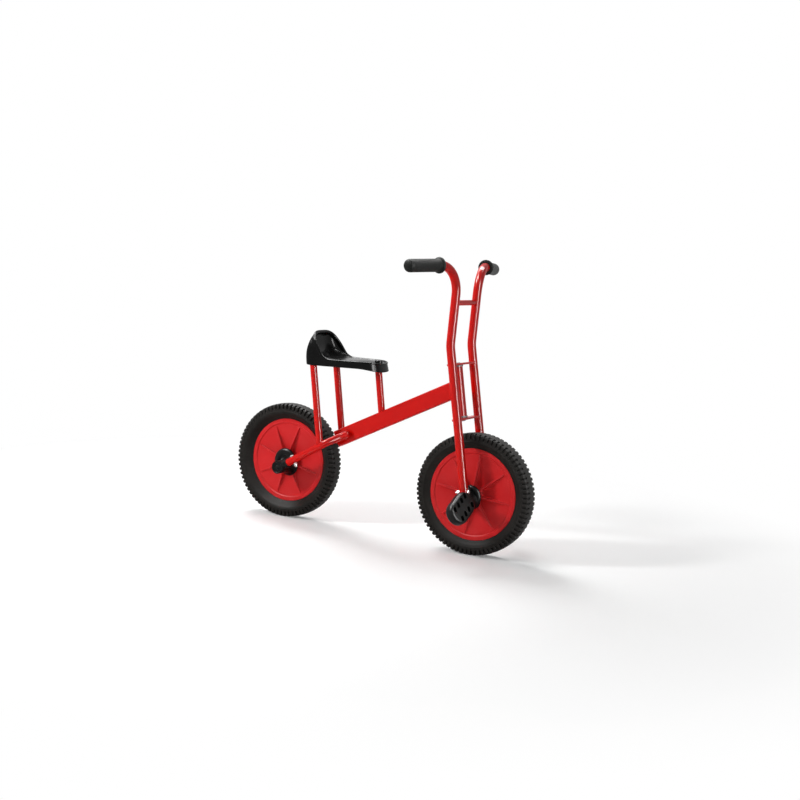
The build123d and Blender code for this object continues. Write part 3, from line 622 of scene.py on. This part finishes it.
def disc_section(wheel):
    """Half section of the disc from its bore to under the tyre: radius and side offset."""
    lip, edge = wheel["lip_offset"], wheel["lip_radius"]
    hub, low = wheel["hub_face"], wheel["web_foot"]
    web, foot = lip - LIP_STEP, edge - LIP_WIDTH
    face = [(AXLE_HOLE, hub), (17, hub), (19.4, hub - 0.1), (20.5, hub - 0.6),
            (HUB_RADIUS, hub - 1.6)]
    wall = [(radius, low + (hub - low) * share)
            for radius, share in ((21.3, 0.54), (21.7, 0.22), (22.8, 0.07))]
    rise = [(radius, low + (web - low) * (radius - 26) / (foot - 29))
            for radius in range(WEB_START, int(foot) - WEB_STEP, WEB_STEP)]
    step = [(foot - 7.5, web), (foot - 5.5, web), (foot - 3, web), (foot - 1.6, lip - 0.6),
            (foot - 0.6, lip - 0.1), (foot + 0.5, lip)]
    rim = [(edge - 2, lip), (edge - 0.6, lip - 0.3), (edge, lip - 1.2), (edge, lip - 4),
           (edge - 6, lip - 4.5), (edge - 8.5, 0)]
    return face + wall + [(25.5, low + 0.1)] + rise + step + rim


def rib_top(wheel, radius):
    """Height of the ribs' crest above the disc's middle at a radius."""
    web, foot = wheel["lip_offset"] - LIP_STEP, wheel["lip_radius"] - LIP_WIDTH
    shoulder, end = HUB_RADIUS + RIB_SHOULDER, foot - RIB_LIP_GAP
    if radius < HUB_RADIUS - 0.1 or radius > end + RIB_END_LENGTH:
        return 0.0
    if radius > end:
        return web + RIB_END_HEIGHT * (end + RIB_END_LENGTH - radius) / RIB_END_LENGTH
    tall = wheel["rib_height"]
    fall = max(0.0, (radius - shoulder) / (end - shoulder))
    return tall + (web + RIB_END_HEIGHT - tall) * fall


def disc_angle(radius, offset, part, pitch):
    """Angle past a rib's middle, by an offset from it or by a part of the way to the next rib."""
    if part is None:
        return math.asin(max(-1.0, min(1.0, offset / radius)) * min(1.0, radius / HUB_RADIUS))
    edge = math.asin(RIB_COLUMNS[-1][0] / max(radius, HUB_RADIUS - 1))
    return edge + (pitch - 2 * edge) * part


def build_disc(which):
    """Moulded wheel disc: hub, dished web, tapering ribs and raised lip, the same on both sides."""
    wheel = WHEELS[which]
    half = disc_section(wheel)
    centre = node_middle(f"axle_{which}")
    pitch = 2 * math.pi / RIB_COUNT
    columns = [(offset, share, None) for offset, share in RIB_COLUMNS]
    columns += [(0, 0.0, part) for part in WEB_COLUMNS]
    verts = []
    for rib in range(RIB_COUNT):
        middle = math.radians(wheel["rib_phase"]) + rib * pitch
        for offset, share, part in columns:
            for side, rows in ((1, half), (-1, half[-2::-1])):
                for radius, y in rows:
                    angle = middle + disc_angle(radius, offset, part, pitch)
                    height = max(y, y + (rib_top(wheel, radius) - y) * share)
                    verts.append(centre + Vector((radius * math.cos(angle), side * height,
                                                  radius * math.sin(angle))) * MM)
    faces = ring_faces(RIB_COUNT * len(columns), 2 * len(half) - 1)
    piece(f"disc_{which}_moulded", (verts, faces), wheel["body"], "red_plastic",
          stands_for=[f"rim_{which}"])


# ---------------------------------------------------------------- grips and clamp bolts
HEAD_ANGLE, STAY_ANGLE = math.radians(11.4), math.radians(32.0)
HEAD_UP = Vector((-math.sin(HEAD_ANGLE), 0, math.cos(HEAD_ANGLE)))
HEAD_FORWARD = Vector((math.cos(HEAD_ANGLE), 0, math.sin(HEAD_ANGLE)))
STAY_FORWARD = Vector((math.cos(STAY_ANGLE), 0, math.sin(STAY_ANGLE)))
STAY_UP = Vector((-math.sin(STAY_ANGLE), 0, math.cos(STAY_ANGLE)))
GRIP_SWEEP, GRIP_DROP = math.radians(12.6), math.radians(2.6)
GRIP_SIDES, GRIP_FLUTES, FLUTE_DEPTH = 180, 36, 0.45
GRIP_FLANGE = 20.6
GRIP_PROFILE = [(0, 12.0, 0), (0, 18.6, 0), (0.5, 19.8, 0), (1.6, 20.5, 0), (3.4, GRIP_FLANGE, 0),
                (5.2, 20.2, 0), (6.4, 19.2, 0), (7.2, 17.6, 0), (8.2, 16.6, 0), (10, 16.4, 0),
                (12.5, 16.4, 0), (14, 16.6, 1), (40, 16.5, 1), (70, 16.4, 1), (100, 16.4, 1),
                (112, 16.5, 1), (114, 16.4, 0), (118, 16.2, 0), (121.5, 15.3, 0), (124.3, 13.4, 0),
                (126.4, 10.4, 0), (127.5, 6.5, 0), (128, 2.0, 0)]       # along, radius, flute share
BOLTS = {"fork": {"body": "fork", "way": HEAD_FORWARD, "tube": 23.0},
         "stay": {"body": "frame", "way": STAY_UP, "tube": 20.0}}
BOLT_RADIUS = 5.5
HEAD_HEIGHT, NUT_HEIGHT, THREAD_END, THREAD_STEP = 3.5, 8.0, 4.5, 0.5
HEXAGON, ROUND, THREAD_SIDES = 6, 32, 24


def build_grip(side, sign):
    """Fluted grip with a rolled flange and a domed end."""
    way = Vector((-math.sin(GRIP_SWEEP) * math.cos(GRIP_DROP),
                  sign * math.cos(GRIP_SWEEP) * math.cos(GRIP_DROP), -math.sin(GRIP_DROP)))
    start = end_centre(f"grip_{side}", -way, GRIP_FLANGE)
    shape = turned(GRIP_PROFILE, start, way, GRIP_SIDES, GRIP_FLUTES, FLUTE_DEPTH)
    piece(f"grip_{side}_fluted", shape, "fork", "grip_rubber", stands_for=[f"grip_{side}"])


def build_clamp_bolt(tube, side):
    """Hexagon bolt through a tube with a lock nut on its threaded end."""
    node, facts = f"{tube}_bolt_{side}", BOLTS[tube]
    head = end_centre(node, facts["way"], BOLT_RADIUS)
    nut = HEAD_HEIGHT + facts["tube"]
    top = nut + NUT_HEIGHT
    thread = [(HEAD_HEIGHT - 0.1, 2.9), (nut, 2.9)]
    for turn in range(int((NUT_HEIGHT + THREAD_END) / THREAD_STEP) - 1):
        thread.append((nut + THREAD_STEP * (turn + 1), 3.0 if turn % 2 else 2.6))
    thread.append((top + THREAD_END, 2.3))
    wide, under = BOLT_RADIUS, HEAD_HEIGHT
    turnings = (
        (HEXAGON, [(0, 4.4), (0.5, wide), (under - 0.3, wide), (under, 5.2)]),
        (ROUND, [(under - 0.6, wide), (under - 0.1, wide)]),
        (HEXAGON, [(nut, 5.2), (nut + 0.4, wide), (top - 2.8, wide), (top - 2.4, 4.9)]),
        (ROUND, [(top - 2.5, 4.7), (top - 0.8, 4.6), (top, 3.9)]),
        (THREAD_SIDES, thread))
    shape = joined(*[turned(profile, head, -facts["way"], sides) for sides, profile in turnings])
    piece(f"{node}_hexagon", shape, facts["body"], "zinc_steel", stands_for=[node])


# ---------------------------------------------------------------- crown plates and steering pin
FORK_LEAD = 17.0
PLATE_THICKNESS, PLATE_CHAMFER = 5.0, 0.6
PLATE_EDGE = [(9, 0), (9, 40), (8.6, 58), (6, 65), (-10, 65), (-16, 63), (-18.5, 56), (-20, 40),
              (-23, 26), (-28.5, 14), (-31, 7), (-32, 0)]   # half outline: ahead of the legs, aside
PIN_HEAD_HEIGHT, PIN_HEAD_RADIUS = 8.0, 12.0                # of the solid that the pin stands for
PIN_RADIUS, PIN_COLLAR, PIN_SIDES = 7.9, 9.4, 48


def plate_outline():
    """Whole outline of a crown plate, rounded through its half outline's points."""
    half = smooth_line([(ahead, aside, 0) for ahead, aside in PLATE_EDGE], 4)
    return [(p.x, p.y) for p in half] + [(p.x, -p.y) for p in half[-2:0:-1]]


def chamfered_plate(outline):
    """Crown plate with a chamfered edge: points (ahead, aside, above) and faces."""
    count = len(outline)
    centre = Vector((sum(p[0] for p in outline) / count, sum(p[1] for p in outline) / count))
    inner = [Vector(p) + (centre - Vector(p)).normalized() * PLATE_CHAMFER for p in outline]
    top, edge = PLATE_THICKNESS / 2, PLATE_THICKNESS / 2 - PLATE_CHAMFER
    return stacked([(inner, -top), (outline, -edge), (outline, edge), (inner, top)])


def build_crown():
    """Both lug-shaped crown plates and a low-headed pin through them."""
    top = end_centre("steering_pin", HEAD_UP, PIN_HEAD_RADIUS)
    bottom = end_centre("steering_pin", -HEAD_UP, PIN_HEAD_RADIUS)
    reach = (PIN_HEAD_HEIGHT + PLATE_THICKNESS / 2) * MM
    points, faces = chamfered_plate(plate_outline())
    for level, pin_end, way in (("upper", top, -1), ("lower", bottom, 1)):
        centre = pin_end + HEAD_UP * (way * reach) + HEAD_FORWARD * (FORK_LEAD * MM)
        verts = [centre + (HEAD_FORWARD * p.x + Vector((0, p.y, 0)) + HEAD_UP * p.z) * MM
                 for p in points]
        piece(f"crown_plate_{level}_lug", (verts, faces), "fork", "red_paint",
              stands_for=[f"crown_plate_{level}"], sharp_angle=30)
    length = (top - bottom).length / MM - 2 * PIN_HEAD_HEIGHT
    profile = [(-2.6, 2.5), (-2.2, 6.0), (-1.2, 8.6), (-0.1, PIN_COLLAR), (0.3, PIN_COLLAR),
               (0.3, PIN_RADIUS), (length - 0.3, PIN_RADIUS), (length - 0.3, PIN_COLLAR),
               (length + 0.1, PIN_COLLAR), (length + 3.4, 9.0), (length + 4.2, 7.5)]
    shape = turned(profile, top - HEAD_UP * PIN_HEAD_HEIGHT * MM, -HEAD_UP, PIN_SIDES)
    piece("steering_pin_low_head", shape, "fork", "zinc_steel", material="bush_plastic",
          stands_for=["steering_pin"])


# ---------------------------------------------------------------- axle housings
HOUSINGS = {
    "rear": {"body": "frame", "drum_face": 15.6, "drum_scale": 1.0, "drum_drop": 0.0,
             "boss_ahead": 10.0, "outer": 74.0, "way": STAY_FORWARD, "tube_y": 61.0,
             "tube_radius": 10.0, "collar": 31.0},
    "front": {"body": "fork", "drum_face": 24.6, "drum_scale": 0.86, "drum_drop": 3.0,
              "boss_ahead": 2.5, "outer": 80.0, "way": HEAD_UP, "tube_y": 65.5,
              "tube_radius": 11.5, "collar": 19.0},
}
DRUM_PROFILE = [(0, 33.2), (1.0, 34.0), (3.0, 34.0), (5.5, 33.0), (7.8, 30.6), (9.3, 27.4),
                (9.9, 24.2), (9.7, 21.2), (8.9, 18.6), (7.4, 16.6), (6.0, 15.6), (5.4, 13.0),
                (5.4, 2.0)]                                     # along, radius
BOSS_DROP = 12.0
BOSS_ROOT = [(0, 30.0), (4, 27.0), (9, 23.6), (16, 20.6)]       # along, radius, scaled as the drum
BOSS_NECK = [(26, 18.6), (36, 18.1)]
BOSS_FACE = {                                                   # from the face, radius
    "rear": [(-1.4, 18.0), (-0.4, 17.6), (0, 16.8), (0, 14.6), (-0.5, 14.0), (-2.4, 13.6),
             (-2.6, 12.0), (-2.6, 5.6), (-1.6, 5.2), (-0.6, 4.6), (0.1, 3.2), (0.4, 1.0)],
    "front": [(-1.2, 18.0), (-0.3, 17.6), (0, 16.8), (0, 2.0)],
}
SADDLE_PROFILE = [(0, 13.5), (26, 13.2), (35, 12.6), (39, 11.4), (40.5, 9.5), (40.5, 2.0)]
SADDLE_INSET = 11                                               # from the tube's middle
DRUM_SIDES, BOSS_SIDES, SOCKET_SIDES = 72, 64, 48


def build_housing(which, side, sign):
    """Moulded housing: ringed drum on the axle, tapering boss, and the socket of its tube."""
    facts = HOUSINGS[which]
    axle, aside = node_middle(f"axle_{which}"), Vector((0, sign, 0))
    scale, ahead, way = facts["drum_scale"], facts["boss_ahead"], facts["way"]
    drum_profile = [(along, radius * scale) for along, radius in DRUM_PROFILE]
    drum = axle + (aside * facts["drum_face"] - Vector((0, 0, facts["drum_drop"]))) * MM
    length = facts["outer"] - facts["drum_face"]
    boss_profile = [(along, radius * scale) for along, radius in BOSS_ROOT] + BOSS_NECK
    boss_profile += [(length + along, radius) for along, radius in BOSS_FACE[which]]
    boss = axle + Vector((ahead, sign * facts["drum_face"], -BOSS_DROP)) * MM
    tube, collar = facts["tube_radius"], facts["collar"]
    collar_profile = [(0, tube + 1.5), (collar - 3, tube + 1.6), (collar - 0.6, tube + 1.2),
                      (collar - 0.2, tube + 0.4), (collar - 0.2, 2.0)]
    socket = axle + Vector((ahead, sign * facts["tube_y"], -BOSS_DROP)) * MM
    shape = joined(turned(drum_profile, drum, aside, DRUM_SIDES),
                   turned(boss_profile, boss, aside, BOSS_SIDES),
                   turned(collar_profile, socket, way, SOCKET_SIDES),
                   turned(SADDLE_PROFILE, socket - aside * SADDLE_INSET * MM, way, SOCKET_SIDES))
    piece(f"{which}_housing_{side}_moulded", shape, facts["body"], "black_plastic",
          stands_for=[f"{which}_housing_{side}"])


# ---------------------------------------------------------------- foot rests
REST_LENGTH, REST_WIDTH, REST_THICKNESS, REST_EDGE = 99.5, 60.0, 26.0, 8.0
REST_DROOP, REST_TILT = math.radians(28.0), math.radians(57.0)
REST_PLACE = Vector((17.0, -123.0, -18.0))      # middle from the axle's middle
REST_END_STEPS, REST_EDGE_STEPS = 20, 6
NECK_START = Vector((2.5, -80.0, -12.0))
NECK_RADIUS, NECK_SETBACK, NECK_SIDES = 12.0, 34.0, 40
SLOT_LENGTH, SLOT_WIDTH, SLOT_DEPTH, SLOT_END_STEPS = 15.5, 9.8, 9.0, 8
SLOT_TURN = math.radians(36.0)                  # of a slot from straight across the block
SLOT_COUNT, SLOT_PITCH, SLOT_ROW = 4, 19.5, 14.75
CUTTER_CLEAR = 3.0


def rest_block():
    """Round-ended block with rounded edges, lying flat."""
    layers = []
    for way in (-1, 1):
        for step in range(REST_EDGE_STEPS + 1):
            share = (step if way < 0 else REST_EDGE_STEPS - step) / REST_EDGE_STEPS
            angle = math.radians(90 * share)
            inset = REST_EDGE * (1 - math.sin(angle))
            height = way * (REST_THICKNESS / 2 - REST_EDGE * (1 - math.cos(angle)))
            outline = stadium(REST_LENGTH - 2 * inset, REST_WIDTH - 2 * inset, REST_END_STEPS)
            layers.append((outline, height))
    return stacked(layers)


def rest_pockets():
    """Cutters of the slanted pockets: two rows in each face of the block."""
    sine, cosine = math.sin(SLOT_TURN), math.cos(SLOT_TURN)
    slot = [(x * sine - y * cosine, x * cosine + y * sine)
            for x, y in stadium(SLOT_LENGTH, SLOT_WIDTH, SLOT_END_STEPS)]
    cutters = []
    for way in (-1, 1):
        floor, clear = REST_THICKNESS / 2 - SLOT_DEPTH, REST_THICKNESS / 2 + CUTTER_CLEAR
        heights = sorted((way * floor, way * clear))
        for row in (-1, 1):
            for step in range(SLOT_COUNT):
                middle = (step - (SLOT_COUNT - 1) / 2) * SLOT_PITCH
                outline = [(x + middle, y + row * SLOT_ROW) for x, y in slot]
                cutters.append(stacked([(outline, height) for height in heights]))
    return joined(*cutters)


def build_foot_rests():
    """On each side, a round-ended block with slanted pockets in both faces, on its neck."""
    axle = node_middle("axle_front")
    out = Vector((0, -math.cos(REST_DROOP), -math.sin(REST_DROOP)))
    across = Vector((math.cos(REST_TILT), 0, -math.sin(REST_TILT)))
    across = (across - out * across.dot(out)).normalized()
    above = out.cross(across)
    place = axle + REST_PLACE * MM
    points, polygons = carved(rest_block(), rest_pockets())
    block = [place + (out * p.x + across * p.y + above * p.z) * MM for p in points]
    start = axle + NECK_START * MM
    neck = place - out * (REST_LENGTH / 2 - NECK_SETBACK) * MM - start
    neck_profile = [(0, NECK_RADIUS), (neck.length / MM, NECK_RADIUS)]
    verts, faces = joined((block, polygons),
                          turned(neck_profile, start, neck.normalized(), NECK_SIDES))
    mirrored = [Vector((v.x, -v.y, v.z)) for v in verts], [face[::-1] for face in faces]
    for side, shape in (("right", (verts, faces)), ("left", mirrored)):
        piece(f"foot_rest_{side}_slotted", shape, "fork", "black_plastic",
              stands_for=[f"foot_rest_{side}"], sharp_angle=30)


# ---------------------------------------------------------------- seat
SEAT_LEVEL = Matrix.Rotation(-math.radians(2.2), 3, "Y")        # pan's own frame, nose up
SEAT_START, SEAT_END = -142.0, 67.0
SEAT_SKIRT, SEAT_WALL = 17.0, 3.2
DROOP_LENGTH, NOSE_DROOP = 55.0, 8.0            # the skirt runs lower towards the nose
NOSE_LENGTH, NOSE_DIP = 50.0, 4.5               # the rim dips towards the nose
NOSE_MIDDLE = 45.0                              # from the nose: where the rim is drawn in to
RIM_INSET, NOSE_INSET = 3.0, 5.0                # of the rim from the plan, and more at the nose
ARCH_HALF, ARCH_HEIGHT, ARCH_POWER = 65.0, 72.0, 0.62
ARCH_STEPS, ARCH_FOOT = 60, 7.0
HOOP_COLUMNS, PAN_COLUMNS = 36, 24
PLAN = [(0, 0), (0, 50), (0.5, 61), (4, 69), (13, 74), (34, 74), (71, 69.5), (110, 65),
        (154, 59.5), (179, 54), (194, 45), (204, 32), (208, 17), (209, 0)]  # from the back, half
WING = [(72, 12), (67, 15), (58, 20.5), (47, 28), (35.5, 36), (24, 43.5), (14, 51), (7, 60),
        (3, 73)]                                # height, distance from the back
WING_FOOT, WING_REACH = WING[-1]
BEAD_RADIUS = 4.2
BEAD_TURNS = (110, 75, 40, 5, -30, -65, -100)   # degrees round the rolled edge, from outside in
OUTSIDE = ((0, 0), (0.05, 0), (0.16, 0), (0.3, 0), (0.45, 0), (0.6, 0), (0.72, 0), (0.8, 0.4),
           (0.87, 1.5))                         # share of the way up, drawn in under the bead
INSIDE = (0.0, 0.1, 0.2, 0.3, 0.4, 0.52, 0.66, 0.82, 1.0)
PAN_MIDDLE = 112                                # from the back
PAN_LEVEL, SPINE_LEVEL, PAN_CROWN, CROWN_LENGTH = 3.2, 3.4, 1.6, 40
HALVES_MERGE = 0.3                              # points this near the middle are joined
CAP_PLACE = Vector((46.5, 0, 3.6))
CAP_PROFILE = [(-5, 10.8), (0.0, 10.8), (1.2, 10.4), (2.6, 9.0), (3.8, 6.4), (4.4, 3.4),
               (4.6, 1.0)]
CAP_SIDES = 48


def seat_arch(wing_end, side):
    """Line of the hood's edge, from the top of the back down the wing to its foot."""
    edge = smooth_line([(height, reach, 0) for height, reach in WING], 6)
    arch = []
    for step in range(ARCH_STEPS):
        angle = math.radians(90 * step / ARCH_STEPS)
        height = ARCH_HEIGHT * math.cos(angle) ** ARCH_POWER
        if height < ARCH_FOOT:
            break
        below = next(i for i in range(1, len(edge)) if edge[i].x <= height)
        share = (edge[below - 1].x - height) / (edge[below - 1].x - edge[below].x)
        reach = edge[below - 1].lerp(edge[below], share).y
        arch.append((SEAT_START + reach, ARCH_HALF * math.sin(angle) ** ARCH_POWER, height))
    arch.append((wing_end, side - RIM_INSET, WING_FOOT))
    return smooth_line(arch, 4)


def seat_curves():
    """Half base line and half rim line of the seat, column by column."""
    plan = smooth_line([(x + SEAT_START, y, 0) for x, y in PLAN], 6)
    wing_end = SEAT_START + WING_REACH
    split = next(i for i, p in enumerate(plan) if p.x > wing_end)
    hoop_shares = [i / HOOP_COLUMNS for i in range(HOOP_COLUMNS)]
    pan_shares = [i / PAN_COLUMNS for i in range(PAN_COLUMNS + 1)]
    base = along_line(plan[:split + 1], hoop_shares) + along_line(plan[split:], pan_shares)
    rim = along_line(seat_arch(wing_end, plan[split].y), hoop_shares)
    middle = Vector((SEAT_END - NOSE_MIDDLE, 0, 0))
    for place in along_line(plan[split:], pan_shares):
        nose = held((place.x - SEAT_END + NOSE_LENGTH) / NOSE_LENGTH)
        pull = (middle - place) if place.x > middle.x else Vector((0, -place.y, 0))
        rise = Vector((0, 0, WING_FOOT - NOSE_DIP * nose ** 3))
        rim.append(place + pull.normalized() * (RIM_INSET + NOSE_INSET * nose) + rise)
    for place in base:
        droop = held((place.x - SEAT_END + DROOP_LENGTH) / DROOP_LENGTH)
        place.z = -SEAT_SKIRT - NOSE_DROOP * droop ** 2
    return base, rim


def seat_column(base, rim, index):
    """Points of one column: up the outside, round the bead, down the inside, in to the middle."""
    foot, top = base[index], rim[index]
    before, after = rim[max(index - 1, 0)], rim[min(index + 1, len(rim) - 1)]
    hoop = held((top.z - WING_FOOT) / (ARCH_HEIGHT - WING_FOOT))    # 1 at the top of the back
    hooded = held((hoop - 0.08) / 0.3)                              # 1 where the edge overhangs
    side = Vector((foot.x - top.x, foot.y - top.y, 0))
    side = side.normalized() if side.length > 1e-6 else Vector((0, 1, 0))
    behind = Vector((SEAT_START - 3, top.y + 6, top.z - 3))
    beside = top + side * 2 - Vector((0, 0, 5))
    shoulder = beside.lerp(behind, hooded)
    near = Vector((foot.x * 0.5 + shoulder.x * 0.5, foot.y * 0.5 + shoulder.y * 0.5,
                   foot.z + (top.z - foot.z) * 0.5))
    near += Vector((-3.0, 3.0, 0)) * hooded
    run = (after - before).normalized()
    up = (top - shoulder).normalized()
    up = (up - run * up.dot(run)).normalized()
    out = run.cross(up)
    if out.dot(side + Vector((0, 0, 1.5 * hooded))) < 0:
        out = -out
    crest = BEAD_RADIUS * (0.75 + 0.45 * hoop)
    edge = top + out * crest * 0.75 - up * crest * 0.5
    points = [bend(foot, near, shoulder, edge, share) - out * inset for share, inset in OUTSIDE]
    for turn in BEAD_TURNS:
        angle = math.radians(turn if turn > 0 else turn * (0.5 + 0.5 * hooded))
        points.append(top + (out * math.sin(angle) + up * (math.cos(angle) - 1.0)) * crest)
    inner = top - (out * 1.15 + up * (0.55 + 1.35 * hooded)) * crest
    middle = SEAT_START + PAN_MIDDLE
    crown = PAN_CROWN * held(foot.x / CROWN_LENGTH)
    wall_foot = Vector((middle + (foot.x - middle) * (0.80 - 0.06 * hoop), foot.y * 0.74,
                        PAN_LEVEL + crown))
    spine = Vector((middle + (foot.x - middle) * 0.4, 0, SPINE_LEVEL + crown))
    drop = (wall_foot - inner).length * 0.6
    leave = inner - up * drop * 0.15 * (1 - hooded) - Vector((4.0, 0.0, drop)) * hooded
    points += [bend(inner, leave, wall_foot, spine, share) for share in INSIDE]
    for point in points:
        point.y = 0.0 if index in (0, len(base) - 1) else max(point.y, 0.0)
    return points


def build_seat():
    """Moulded shell seat: skirt, dished pan, hooped back and a beaded rim."""
    base, rim = seat_curves()
    columns = [seat_column(base, rim, index) for index in range(len(base))]
    rows = len(columns[0])
    verts = [SEAT_LEVEL @ point * MM for column in columns for point in column]
    corners = [c * rows + r for c in range(len(columns) - 1) for r in range(rows - 1)]
    faces = [(corner, corner + 1, corner + rows + 1, corner + rows) for corner in corners]
    seat = piece("seat_moulded", (verts, faces), "frame", "black_plastic", material="seat_plastic",
                 stands_for=["seat_shell"], sharp_angle=80)
    halves = seat.modifiers.new("other_half", "MIRROR")
    halves.use_axis = (False, True, False)
    halves.merge_threshold = HALVES_MERGE * MM
    halves.use_clip = True
    wall = seat.modifiers.new("wall", "SOLIDIFY")
    wall.thickness = SEAT_WALL * MM
    wall.offset = -1
    rounding = seat.modifiers.new("rounding", "SUBSURF")
    rounding.levels = rounding.render_levels = 1


def build_seat_cap():
    """Domed cap over the front post's fixing."""
    up = SEAT_LEVEL @ Vector((0, 0, 1))
    shape = turned(CAP_PROFILE, SEAT_LEVEL @ CAP_PLACE * MM, up, CAP_SIDES)
    piece("seat_fixing_cap", shape, "frame", "black_plastic", material="seat_plastic")


# ---------------------------------------------------------------- the whole bicycle
SIDES = (("right", -1), ("left", 1))
for which in WHEELS:
    build_tyre(which)
    build_disc(which)
for side, sign in SIDES:
    build_grip(side, sign)
    for tube in BOLTS:
        build_clamp_bolt(tube, side)
build_crown()
for which in WHEELS:
    for side, sign in SIDES:
        build_housing(which, side, sign)
build_foot_rests()
build_seat()
build_seat_cap()

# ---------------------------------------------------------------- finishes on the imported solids
for subpart in frame["record"]["subparts"]:
    solid = nodes[subpart["node"]]
    solid.data.materials.clear()
    solid.data.materials.append(FINISHES[subpart["material_slot"]])
